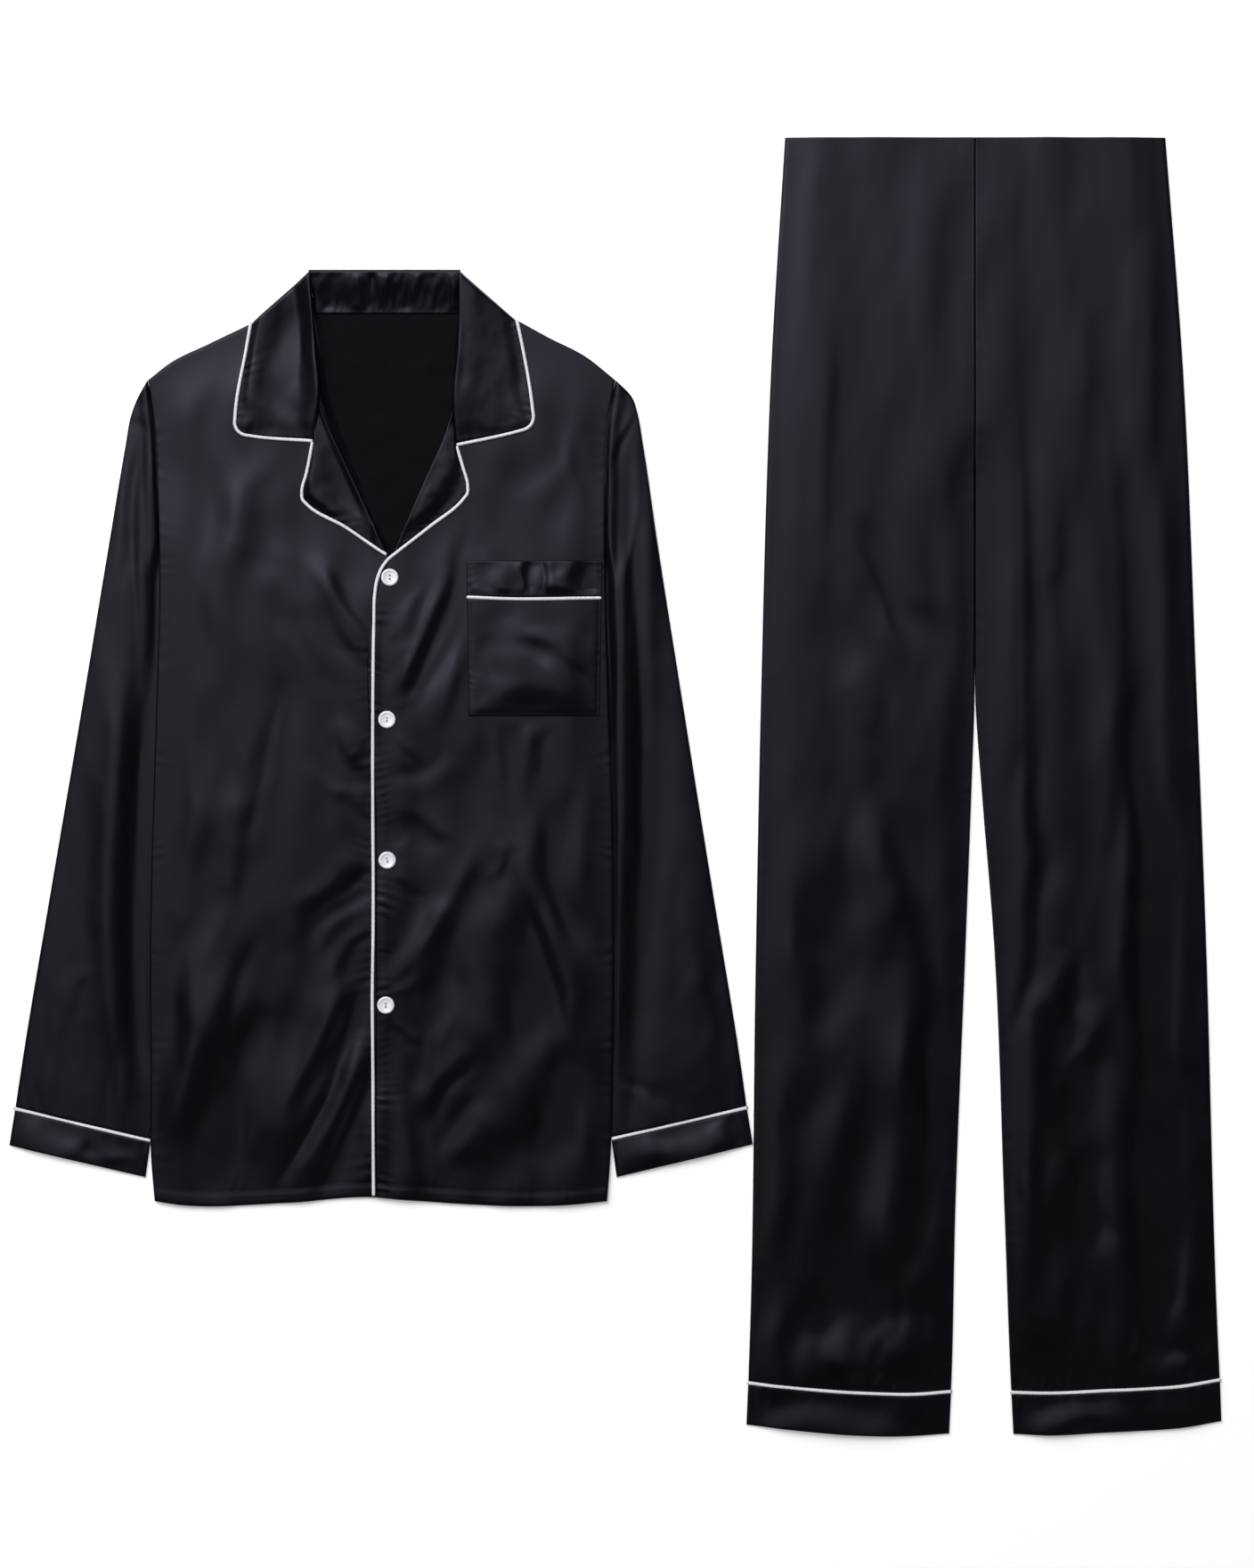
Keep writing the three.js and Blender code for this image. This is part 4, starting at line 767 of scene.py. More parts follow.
def make_front(side):
    """A front, with its folds, gathers and stitched hem, and its steep roll beside the neck opening."""
    x, y = front_grid(side)
    minus, plus, low, high = edge_distances(x, y)
    seam, own_edge = (minus, plus) if side == "right" else (plus, minus)
    opening = ease((y - OPENING_Y) / 20)
    buttoned = ease((500 - y) / 30)
    z = front_top(x, y)
    if side == "left":
        z = z + on_right_front(x)
        z = z + buttoned * puckers(np.abs(own_edge - 2), y, 0.95, 6.6, 6, 0.4)
        z = z + 0.35 * buttoned * np.exp(-(((own_edge - 6) / 3.5) ** 2))
    else:
        from_piping = np.abs(np.minimum(x + 9.5, 0))
        z = z + buttoned * puckers(from_piping, y, 0.26, 9.5, 9, 1.7) * (x < -8)
    z = z + hem_relief(low)
    z = z + puckers(np.abs(low - HEM_TURN), x, 0.16, 7.2, 8, 3.0) * ease((high - 60) / 40)
    z = z + puckers(seam, y, 0.16, 11, 8, 2.2) * ease(low / 30)
    # The edges come down on what they lie on.
    at_seam = back_top(x, y) + 0.2
    z = at_seam + (z - at_seam) * rounded(seam, 2.2)
    if side == "right":
        # Beside the opening it rolls steeply down to the back, dark against the light.
        z = z + 1.3 * opening * np.exp(-(((own_edge - 7.5) / 4) ** 2))
        z = z - (z - back_top(x, y) - 0.7) * (1 - np.clip(own_edge / 6.5, 0, 1)) * opening
    z = turned_down(z, own_edge, 1.3, 1.4, 1 - opening)
    z = turned_down(z, low, 1.6, 1.5)
    z = at_seam + (z - at_seam) * np.maximum(rounded(high, 2.0), 0.2)
    piece = piece_from("front_" + side + "_panel", grid_of(x, y, z, JACKET_AT), SATIN)
    give_wall(piece)
    lay_flat("jacket_front_" + side)
    return piece


def flat_tube(plan, top, radius, count):
    """Places round a flattened tube: over its top, round a fold, back beneath it and round the other fold.

    plan gives x and y rows for shares across, and top the height of its upper side there. Returns x, y and z,
    the distance round the tube, the distance from the nearest fold, and where the upper side is.
    """
    low = 0.35
    turn = np.linspace(0, 2 * math.pi, count + 1)
    across = 0.5 - 0.5 * np.cos(turn)
    x, y = plan(across)
    upper = turn <= math.pi
    width = np.hypot(x[:, [count // 2]] - x[:, [0]], y[:, [count // 2]] - y[:, [0]])
    from_edge = np.minimum(across, 1 - across)[None] * width
    height = top(x, y)
    middle = (height + low) / 2
    half = (height - low) / 2
    z = middle + np.where(upper[None], half, -half) * rounded(from_edge, radius)
    girth = np.concatenate([[0], np.cumsum(np.abs(np.diff(across)))])
    return x, y, z, girth[None] * width, from_edge, upper[None] & np.ones_like(x, bool)


def sleeve_plan(side):
    """x and y rows of a sleeve from its cuff to the armhole, for shares across it."""
    outer = SLEEVES[side]["outer"]
    seam = SLEEVES[side]["seam"]
    elbow = SLEEVES[side]["elbow"]
    out = OUT[side]
    column = 1 if side == "right" else 2
    cuff_end = (seam[1][0] + out * 6, seam[1][1] + (seam[0][1] - seam[1][1]) * 6 / 112)
    beside = [cuff_end] + [
        (row[column] + out * (2 if row[0] < UNDERARM_Y else -1.6), row[0])
        for row in BODY_SIDES
        if seam[1][1] + 20 < row[0] <= UNDERARM_Y
    ]
    armhole = [(row[column] - out * 1.6, row[0]) for row in BODY_SIDES if row[0] > UNDERARM_Y]
    crown = outer[-1]
    top_line = [crown] + armhole[::-1][1:] + [beside[-1]]
    up = stops(length_of(outer), 2.9)
    kept = 0.8  # share of the way across that shows beside the body

    def plan(across):
        shown = np.clip(across / kept, 0, 1)
        tucked = np.clip((across - kept) / (1 - kept), 0, 1)
        x1, y1 = stretched([seam[0], cuff_end], top_line, outer, beside, shown, up)
        x2, y2 = stretched([cuff_end, seam[1]], [beside[-1], elbow], beside, [seam[1], elbow], tucked, up)
        under = (across > kept)[None]
        return np.where(under, x2, x1), np.where(under, y2, y1)

    return plan


def sleeve_top(side):
    folds = SLEEVE_FOLDS_RIGHT if side == "right" else SLEEVE_FOLDS_LEFT
    outer = x_on([SLEEVES[side]["hem"][0]] + list(SLEEVES[side]["outer"]))
    out = OUT[side]
    seed = 1.7 if side == "right" else 3.9

    def top(x, y):
        edge = outer(y)
        body = SIDE_OF[side](y)
        outside_body = (x - body) * out
        width = np.maximum(np.abs(edge - body), 8)
        share = np.clip(outside_body / width, 0, 1)
        full = np.minimum(1, width / 50)
        crest = np.maximum(np.sin(math.pi * share), 0) ** 0.7
        soft = swell(x, 0.4 * y, 60, 0.3, seed) + swell(x, 0.5 * y, 24, 0.04, seed + 1)
        narrow = np.minimum(1, width / 30)
        z = SLEEVE_EDGE + crest * full * 2.4 + crest ** 0.6 * (folds_at(folds, x, y) + soft) * narrow
        beside = 1 - ease((outside_body - 3) / 9)
        z = z + 1.9 * ease((y - UNDERARM_Y + 6) / 20) * beside
        # Below the underarm it comes up steeply out of the crevice at the body's edge.
        crevice = ease((y - 330) / 120) * ease((UNDERARM_Y + 30 - y) / 40)
        z = z + 1.5 * crevice * np.exp(-(((outside_body - 12) / 9) ** 2))
        # Beside the body it falls away from the light, on both sides of the picture.
        long = ease((UNDERARM_Y + 30 - y) / 50) * ease((y - 100) / 60)
        fall = ease((outside_body - 5) / 24)
        z = z + long * (2.2 * fall - 1.6 if side == "right" else 1.8 - 2.4 * fall)
        clear = ease((outside_body + 0.3) / (2.6 + 6 * crevice))
        floor = 2.5 - 0.9 * crevice
        return kept_above(floor + (z - floor) * clear, 1.4, 0.5)

    return top


def tube_from(name, node, at, places, gathers, ends, rim=6):
    """A tube of satin on places from flat_tube, gathered on its upper side.

    ends gives, for each end that is rolled down, the distance from it, the depth and the radius. The gathers
    begin rim mm from a fold.
    """
    x, y, z, girth, from_edge, upper = places
    z = z + gathers * upper * ease(from_edge / rim)
    for distance, depth, radius in ends:
        z = turned_down(z, distance, depth, radius, upper * ease(from_edge / 2))
    shape = grid_of(x, y, np.maximum(z, TUBE_LOW), at, grain=(girth, y))
    piece = piece_from(name, shape, SATIN, turn_out=True, merge=0.02)
    give_wall(piece, TUBE_WALL)
    lay_flat(node)


def make_sleeve(side):
    places = flat_tube(sleeve_plan(side), sleeve_top(side), 3.0, 104)
    x, y, girth = places[0], places[1], places[3]
    low, high = edge_distances(x, y)[2:]
    gathers = puckers(low, girth, 0.4, 7.8, 11, 1.1 if side == "right" else 2.6)
    gathers = gathers + puckers(high, girth, 0.22, 6.8, 7, 0.7) * (high < 30)
    ends = ((low, 0.7, 1.5), (high, 0.9, 1.8))
    tube_from("sleeve_tube_" + side, "sleeve_" + side, JACKET_AT, places, gathers, ends)


def between(side, share):
    """The line across a cuff at a share of the way from its hem to its seam."""
    hem = np.array(SLEEVES[side]["hem"])
    seam = np.array(SLEEVES[side]["seam"])
    return hem + (seam - hem) * share


def cuff_top(side):
    x1, x2 = (x for x, _ in SLEEVES[side]["hem"])

    def top(x, y):
        share = np.clip((x - x1) / (x2 - x1), 0, 1)
        crest = np.maximum(np.sin(math.pi * share), 0) ** 0.6
        soft = swell(x, y, 46, 0.2, 2.0)
        return SLEEVE_EDGE + 1.9 * crest + crest ** 0.5 * (soft + folds_at(CUFF_FOLDS, x, y))

    return top


def fold_to_fold(count):
    """Shares across a tube, closer together at its two folds."""
    return 0.5 - 0.5 * np.cos(np.linspace(0, math.pi, count))


def ring_of_piping(name, node, at, x, y, across, heights):
    """Piping in a tube's seam: over its upper side, down at both folds and back beneath it."""
    width = length_of(list(zip(x, y)))
    lift = rounded(across * width, 2.4) * rounded((1 - across) * width, 2.4)
    z = RING_SIDE + (heights + 0.1 - RING_SIDE) * lift
    over = list(zip(x, y, z))
    beneath = [(px, py, RING_LOW) for px, py, _ in over[::-1][2:-2]]
    piping_along(name, over + beneath, at, node, closed=True)


def make_cuff(side):
    """A turned cuff, a tube, with the ring of piping in its seam."""
    height = length_of([between(side, 0)[0], between(side, 1)[0]])
    piping_room = (2 * PIPING + 0.2) / height
    top = cuff_top(side)
    lines = [between(side, share) for share in stops(height, 1.5) * (1 - piping_room)]

    def plan(across):
        x, y = (np.array([start[i] + (end[i] - start[i]) * across for start, end in lines]) for i in (0, 1))
        return x, y

    places = flat_tube(plan, top, 2.2, 96)
    x, y, girth = places[0], places[1], places[3]
    low, high = edge_distances(x, y)[2:]
    gathers = puckers(high, girth, 0.45, 8.6, 7, 3.1 if side == "right" else 0.6)
    ends = ((high, 0.8, 1.2), (low, 0.8, 1.3))
    tube_from("cuff_band_" + side, "cuff_" + side, JACKET_AT, places, gathers, ends, 5)
    start, end = between(side, 1 - piping_room / 2)
    across = fold_to_fold(80)
    x, y = (start[i] + (end[i] - start[i]) * across for i in (0, 1))
    ring_of_piping("cuff_piping_ring_" + side, "cuff_piping_" + side, JACKET_AT, x, y, across, top(x, y))


def resampled(points, step):
    """Points step mm apart along a line in space."""
    points = np.array(points, float)
    reach = np.concatenate([[0], np.cumsum(np.linalg.norm(np.diff(points, axis=0), axis=1))])
    count = max(2, round(reach[-1] / step))
    goal = np.linspace(0, reach[-1], count + 1)
    return np.stack([np.interp(goal, reach, points[:, axis]) for axis in range(3)], axis=-1)


def piping_along(name, points, at, node, closed=False):
    """A bias strip of white satin sewn round a cord, laid along points. It shows slight slanting puckers."""
    step = 1.0
    if closed:
        points = list(points) + [points[0]]
    places = resampled(points, step)
    count = len(places)
    if closed:
        ahead = np.concatenate([places[1:-1], places[:1], places[1:2]])
        behind = np.concatenate([places[-2:-1], places[:-2], places[-2:-1]])
    else:
        ahead = np.concatenate([places[1:], places[-1:]])
        behind = np.concatenate([places[:1], places[:-1]])
    way = ahead - behind
    way = way / np.maximum(np.linalg.norm(way, axis=1), 1e-6)[:, None]
    aside = np.stack([way[:, 1], -way[:, 0], np.zeros(count)], axis=-1)
    lengths = np.linalg.norm(aside, axis=1)[:, None]
    held = np.where(lengths > 0.2, aside / np.maximum(lengths, 1e-6), 0)
    for i in range(1, count):
        if not held[i].any():
            held[i] = held[i - 1]
    up = np.cross(held, way)
    turn = np.linspace(0, 2 * math.pi, 11)
    run = np.arange(count)[:, None] * step
    twist = 0.05 * np.sin(2 * math.pi * run / 3.9 + 2 * turn[None] + np.sin(run / 13))
    radius = PIPING * (1 + twist + 0.04 * np.sin(run / 11 + 1.3))
    if not closed:
        ends = np.minimum(run, run[-1] - run)
        radius = radius * np.maximum(0.35, rounded(ends + 0.3, PIPING))
    x, y, z = (
        places[:, [axis]] + radius * (np.cos(turn) * held[:, [axis]] + np.sin(turn) * up[:, [axis]])
        for axis in range(3)
    )
    shape = grid_of(x, y, z, at, grain=(turn[None] * PIPING + 0 * run, run + 0 * turn[None]))
    bmesh.ops.remove_doubles(shape, verts=shape.verts, dist=0.02 * MM)
    rims = [edge for edge in shape.edges if edge.is_boundary]
    if rims:
        bmesh.ops.holes_fill(shape, edges=rims, sides=0)
    piece = piece_from(name, shape, WHITE, turn_out=True)
    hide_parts(node)


def along_line(line, step=1.2):
    """Places step mm apart on the smooth curve through a line of points."""
    return through(line, np.linspace(0, 1, max(2, round(length_of(line) / step))))


def laid_line(line, trees, at, lift, smooth=6, around=1.3, fallback=2.3):
    """A line's places with the height of what is under them, evened out, plus lift."""
    places = along_line(line)
    heights = [top_at(trees, at, x, y, fallback, around) for x, y in places]
    heights = evened(heights, smooth) + lift
    return [(x, y, z) for (x, y), z in zip(places, heights)]


def panel_on_jacket(name, node, low, high, minus, plus, height, step, wall):
    """A panel laid on the fronts; height gives its upper side from x, y and the four edge distances."""
    across = stops(max(length_of(low), length_of(high)), step)
    up = stops(max(length_of(minus), length_of(plus)), step)
    x, y = stretched(low, high, minus, plus, across, up)
    z = height(x, y, *edge_distances(x, y))
    piece = piece_from(name, grid_of(x, y, z, JACKET_AT), SATIN)
    give_wall(piece, wall)
    lay_flat(node)
    return piece


def body_under(x, y):
    """Top of the fronts without their small folds, over both fronts where they overlap."""
    return front_top(x, y, folds=False) + on_right_front(x) * ease((x + 10) / 5)


def shifted(line, distance):
    """A line moved sideways, to its left when distance is positive."""
    places = np.array(line, float)
    ways = np.gradient(places, axis=0)
    ways /= np.linalg.norm(ways, axis=1)[:, None]
    return [(x - distance * dy, y + distance * dx) for (x, y), (dx, dy) in zip(places, ways)]


def clear_of_front(x, y, z):
    """Height z kept above the fronts, bending softly where it would touch them."""
    return kept_above(z, front_top(x, y) + 0.9)


def make_lapel(side):
    """A lapel, rolled over its fold line and flat towards its piping."""
    out = OUT[side]
    fold = LAPELS[side]["fold"][::-1]
    piping = shifted(LAPELS[side]["piping"], -out * SEWN_IN)[::-1]
    minus, plus = (piping, fold) if side == "right" else (fold, piping)

    def height(x, y, from_minus, from_plus, _, from_high):
        rolled, piped = (from_plus, from_minus) if side == "right" else (from_minus, from_plus)
        base = np.maximum(body_under(x, y), 3.2) + 1.5 + 1.2 * ease(piped / 14)
        lift = 1.9 * np.exp(-rolled / 6) * (0.45 + 0.55 * ease((y - 530) / 50))
        soft = swell(x, y, 40, 0.25, 2.0 + out) + swell(x, y, 15, 0.04, 0.7 + out)
        soft = soft + folds_at(LAPEL_FOLDS, x, y)
        inner = ease(np.minimum(rolled, piped) / 8)
        z = clear_of_front(x, y, base + lift + soft * inner) + puckers(piped, y, 0.3, 6.2, 6, 1 + out)
        z = turned_down(turned_down(z, piped, 0.9, 1.4), rolled, 3.0, 2.6)
        return turned_down(z, from_high, 0.9, 1.6)

    low, high = ([minus[end], plus[end]] for end in (0, -1))
    name = "lapel_" + side
    panel_on_jacket(name + "_facing", name, low, high, minus, plus, height, 1.5, LAPEL_WALL)


def leaf_grid(side):
    """x, y and z of one collar leaf, down to its fold at the shoulder."""
    leaf = LEAVES[side]
    line = shifted(leaf["piping"], -OUT[side] * SEWN_IN)
    outer = [leaf["fold"][0]] + line[1 : LEAF_CORNER + 1]
    lower = line[LEAF_CORNER:-1] + [leaf["roll"][0]]
    if side == "right":
        edges = (lower, leaf["fold"], outer[::-1], leaf["roll"])
    else:
        edges = (lower[::-1], leaf["fold"][::-1], leaf["roll"], outer[::-1])
    x, y = stretched(*edges, stops(60, 1.7), stops(110, 1.7))
    minus, plus, low, high = edge_distances(x, y)
    rolled, piped = (plus, minus) if side == "right" else (minus, plus)
    base = np.maximum(body_under(x, y), 3.3) + 1.5 + ease(np.minimum(piped, low) / 16)
    roll = 1 - ease(rolled / ROLL_WIDTH[side])
    lift = COLLAR_ROLL["height"] * roll * (0.3 + 0.7 * ease((y - 612) / 50))
    seed = 2.6 + OUT[side]
    soft = swell(x, 0.6 * y, 50, 0.4, seed) + swell(x, y, 19, 0.05, seed + 2)
    soft = soft + folds_at(LEAF_FOLDS, x, y)
    z = clear_of_front(x, y, base + lift + soft * ease(nearest(rolled, piped, low) / 8))
    z = z + puckers(piped, y, 0.3, 7.4, 7, seed) + puckers(low, x, 0.3, 7.0, 7, seed + 1)
    z = turned_down(turned_down(z, piped, 1.0, 1.4), low, 1.0, 1.4)
    z = turned_down(z, rolled, 3.4, 3.0)
    return x, y, 1.2 + (z - 1.2) * np.maximum(rounded(high, 4.0), 0.05)


def stand_grid():
    """The stand behind the neck, its roll, and the fall that comes back under it."""
    seam_y = STAND_SEAM["y"]
    roll_y = COLLAR_ROLL["y"]
    tall = roll_y - seam_y
    reach = np.concatenate([np.linspace(0, 1, 26), np.full(11, 1.0), np.linspace(1, 0.16, 9)[1:]])
    turn = np.concatenate([np.zeros(25), np.linspace(0, math.pi, 12), np.full(8, math.pi)])
    across = np.linspace(0, 1, 110)
    thick = 3.1
    rise = 1.8 + (COLLAR_ROLL["height"] - 0.4) * ease(reach)
    y = seam_y + (tall - thick * 0.6) * reach + thick * 0.6 * np.sin(turn)
    low = 0.4
    z = np.where(turn < math.pi / 2, rise, low)
    bend = (turn > 0) & (turn < math.pi)
    z = np.where(bend, low + (rise[24] - low) * (0.5 + 0.5 * np.cos(turn)), z)
    left_x = STAND_SEAM["right"] + (COLLAR_ROLL["right"] - STAND_SEAM["right"]) * reach - 1.5
    right_x = STAND_SEAM["left"] + (COLLAR_ROLL["left"] - STAND_SEAM["left"]) * reach + 1.5
    x = left_x[:, None] + (right_x - left_x)[:, None] * across[None]
    y = y[:, None] + 0 * across[None]
    z = z[:, None] + 0 * across[None]
    shown = (turn < 0.01)[:, None] * ease(reach / 0.2)[:, None] * ease((1 - reach) / 0.15)[:, None]
    folds = swell(x, 0.25 * y, 26, 0.7, 0.9) + swell(x, 0.3 * y, 12, 0.25, 3.0)
    z = z + shown * folds
    near_seam = (reach[:, None] * tall) * (turn < 0.01)[:, None] + 99 * (turn >= 0.01)[:, None]
    z = z + puckers(near_seam, x, 0.3, 5.6, 7, 0.8)
    return x, y, z


def make_collar():
    shape = grid_of(*leaf_grid("right"), JACKET_AT)
    grid_of(*leaf_grid("left"), JACKET_AT, shape=shape)
    grid_of(*stand_grid(), JACKET_AT, shape=shape)
    piece = piece_from("collar_stand_and_leaves", shape, SATIN)
    give_wall(piece, COLLAR_WALL)
    lay_flat("collar")


def make_jacket_piping(under):
    for side in SIDES:
        leaf = laid_line(LEAVES[side]["piping"], under, JACKET_AT, PIPING + 0.35)
        piping_along("collar_edge_piping_" + side, leaf, JACKET_AT, "collar_piping_" + side)
    right = laid_line(LAPELS["right"]["piping"] + ((3.2, 523.4),), under, JACKET_AT, PIPING + 0.3)
    piping_along("lapel_edge_piping_right", right, JACKET_AT, "front_piping_right")
    whole = LAPELS["left"]["piping"][:-1] + FRONT_PIPING
    left = laid_line(whole, under, JACKET_AT, PIPING + 0.15, around=1.6)
    piping_along("front_edge_piping_left", left, JACKET_AT, "front_piping_left")


def make_pocket():
    """The pocket with its soft bulge, its turned top band, and the piping between them."""
    right, left = POCKET["right"], POCKET["left"]
    seam_y = POCKET["piping"]
    taper = POCKET["taper"]
    clear = PIPING * 0.75

    def height_over(folds, bulge=0):
        def height(x, y, minus, plus, low, high):
            from_side = np.minimum(minus, plus)
            inner = ease(from_side / 7) * ease(low / 7)
            z = body_under(x, y) + 1.2 + 0.5 * inner + folds_at(folds, x, y) * inner
            if bulge:
                share = np.clip((x - right) / (left - right), 0, 1)
                tall = 5 + 24 * np.maximum(np.sin(math.pi * share), 0) ** 1.2
                z = z + bulge * ease(low / tall) * (1 - ease((low - tall) / 62)) * ease(from_side / 44)
            z = z + swell(x, y, 40, 0.1, 0.4) * inner
            z = z + puckers(minus, y, 0.16, 6.8, 4, 1) + puckers(plus, y, 0.16, 7.4, 4, 2)
            z = z + puckers(low, x, 0.16, 7.0, 4, 3)
            z = z - 0.3 * np.exp(-(((from_side - 1.6) / 0.6) ** 2))
            return turned_down(z, nearest(minus, plus, low, high), 0.9, 0.9)

        return height

    def edges(low_y, high_y, low_in, high_in):
        a = (right + low_in, low_y)
        b = (left - low_in, low_y)
        c = (right + high_in, high_y)
        d = (left - high_in, high_y)
        return (a, b), (c, d), (a, c), (b, d)

    bag_edges = edges(POCKET["bottom"], seam_y - clear, taper, taper * 0.2)
    height = height_over(POCKET_FOLDS, POCKET_BULGE)
    bag = panel_on_jacket("chest_pocket_bag", "chest_pocket", *bag_edges, height, 1.5, POCKET_WALL)
    band_edges = edges(seam_y + clear, POCKET["top"], taper * 0.2, 0)
    height = height_over(BAND_FOLDS)
    band = panel_on_jacket("chest_pocket_band", "pocket_band", *band_edges, height, 1.3, POCKET_WALL)
    line = [(right + 0.4, seam_y + 0.6), (98, seam_y - 0.7), (left - 0.4, seam_y)]
    trees = [surface_of(bag), surface_of(band)]
    places = laid_line(line, trees, JACKET_AT, PIPING * 0.35, 12, 2.2)
    piping_along("pocket_edge_piping", places, JACKET_AT, "pocket_piping")
    return trees


def make_button(number, x, y, z):
    """A two-hole shirt button, turned from a profile, with its thread through the holes."""
    radius = BUTTON["radius"]
    tall = BUTTON["height"]
    # From the middle of its underside round the rim to the middle of its dished top.
    profile = [(0.01, 0), (radius - 1.6, 0), (radius - 0.5, 0.45), (radius, 1.1), (radius - 0.05, 1.6)]
    profile += [(radius - 0.5, 2.2), (radius - 1.1, tall), (radius - 1.8, tall - 0.1)]
    profile += [(radius - 2.4, tall - 0.55), (radius - 3.2, tall - 0.85), (0.01, tall - 0.95)]
    shape = bmesh.new()
    points = [shape.verts.new((a * MM, 0, b * MM)) for a, b in profile]
    edges = [shape.edges.new(pair) for pair in zip(points, points[1:])]
    around = {"axis": (0, 0, 1), "cent": (0, 0, 0), "angle": 2 * math.pi}
    bmesh.ops.spin(shape, geom=points + edges, steps=56, use_merge=True, **around)
    bmesh.ops.remove_doubles(shape, verts=shape.verts, dist=0.03 * MM)
    bmesh.ops.recalc_face_normals(shape, faces=shape.faces)
    blank = object_from("button blank", shape)
    drills = bmesh.new()
    hole = BUTTON["hole"] * MM
    for offset in (-0.5, 0.5):
        place = Matrix.Translation((0, offset * BUTTON["spacing"] * MM, 1.5 * MM))
        bmesh.ops.create_cone(
            drills, cap_ends=True, segments=20, radius1=hole, radius2=hole * 1.15, depth=6 * MM, matrix=place
        )
    drill = object_from("button drills", drills)
    cut = blank.modifiers.new("holes", "BOOLEAN")
    cut.operation = "DIFFERENCE"
    cut.object = drill
    cut.solver = "EXACT"
    bpy.context.view_layer.update()
    cut_mesh = bpy.data.meshes.new_from_object(blank.evaluated_get(bpy.context.evaluated_depsgraph_get()))
    shape = bmesh.new()
    shape.from_mesh(cut_mesh)
    for spent in (blank, drill):
        bpy.data.objects.remove(spent)
    for face in shape.faces:
        face.smooth = len(face.verts) <= 4
    seat = Matrix.Translation(((x + JACKET_AT[0]) * MM, (y + JACKET_AT[1]) * MM, z * MM))
    tilt = Matrix.Rotation(0.035 * math.sin(3 * number), 4, "X")
    turn = Matrix.Rotation(0.12 * math.cos(number * 2), 4, "Z")
    bmesh.ops.transform(shape, matrix=seat @ tilt @ turn, verts=shape.verts)
    button = piece_from("shirt_button_%d" % number, shape, PEARL)
    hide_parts("button_%d" % number)

    sewn = bmesh.new()
    for strand in (-0.24, 0.0, 0.24):
        bow = [(strand, aside, high) for aside, high in THREAD_BOW]
        add_strand(sewn, bow, 0.16)
    bmesh.ops.transform(sewn, matrix=seat, verts=sewn.verts)
    piece_from("button_thread_%d" % number, sewn, WHITE_THREAD)


def add_strand(shape, points, radius):
    """A round strand through points in mm, added to a bmesh."""
    places = resampled(points, 0.35)
    rings = []
    for i, place in enumerate(places):
        way = Vector(places[min(i + 1, len(places) - 1)] - places[max(i - 1, 0)]).normalized()
        seat = Matrix.Translation(Vector(place) * MM) @ way.to_track_quat("Z", "Y").to_matrix().to_4x4()
        rings.append(bmesh.ops.create_circle(shape, segments=6, radius=radius * MM, matrix=seat)["verts"])
    for near, far in zip(rings, rings[1:]):
        touching = {edge for vert in near + far for edge in vert.link_edges}
        circles = [edge for edge in touching if set(edge.verts) <= set(near) or set(edge.verts) <= set(far)]
        for face in bmesh.ops.bridge_loops(shape, edges=circles)["faces"]:
            face.smooth = True


def stitches_along(shape, places, pitch=3.1, length=2.1, width=0.42):
    """A row of lockstitches along places in mm: each a small lying bead of thread, sunk at both ends."""
    sink = 0.05
    places = resampled(places, pitch)
    for start, end in zip(places, places[1:]):
        middle = Vector((start + end) / 2) * MM
        way = Vector(end - start).normalized()
        turned = way.to_track_quat("X", "Z").to_matrix().to_4x4()
        size = Matrix.Diagonal((length / 2 * MM, width / 2 * MM, width / 2.4 * MM, 1))
        middle.z += (width / 2.4 - sink) * MM * 0.5
        seat = Matrix.Translation(middle) @ turned @ size
        made = bmesh.ops.create_icosphere(shape, subdivisions=1, radius=1, matrix=seat)
        for vert in made["verts"]:
            for face in vert.link_faces:
                face.smooth = True


def leg_share(side, height):
    """A height above a leg's hem as a share of its length."""
    return height / length_of(LEGS[side]["minus"])


def leg_rows(side, low_share, high_share, step, across):
    """x and y rows of a leg between two shares of its length."""
    leg = LEGS[side]
    span = (high_share - low_share) * length_of(leg["minus"])
    rim = (0.3, 0.7, 1.2) if span < 60 else (0.3, 0.7, 1.2, 1.9)
    up = low_share + (high_share - low_share) * stops(span, step, rim)
    return stretched(leg["low"], leg["high"], leg["minus"], leg["plus"], across, up)


def leg_top(side):
    """A function for the height of a leg's upper side, with or without its smallest creases."""
    leg = LEGS[side]
    outer_x = x_on(leg["minus"] if side == "right" else leg["plus"])
    inner_x = x_on(leg["plus"] if side == "right" else leg["minus"])
    seed = LEG_SEED[side]

    def top(x, y, small=True):
        outer = ease(np.abs(x - outer_x(y)) / 30)
        at_fork = ease((y - FORK_Y + 30) / 60)
        inner = ease(np.abs(x - inner_x(y)) / 30)
        inner = inner + (1 - inner) * at_fork
        loft = LOFT - 0.2 * ease((330 - y) / 330) + swell(x, 0.4 * y, 95, 0.5, seed)
        loft = loft + folds_at(LEG_FOLDS, x, y) + swell(x, 0.35 * y, 36, 0.05, seed + 2)
        if small:
            loft = loft + swell(x, 0.35 * y, 52, 0.22, seed + 4) * (0.3 + 0.7 * ease((620 - y) / 350))
        return LEG_EDGE + outer * inner * kept_above(loft, 0.2)

    return top


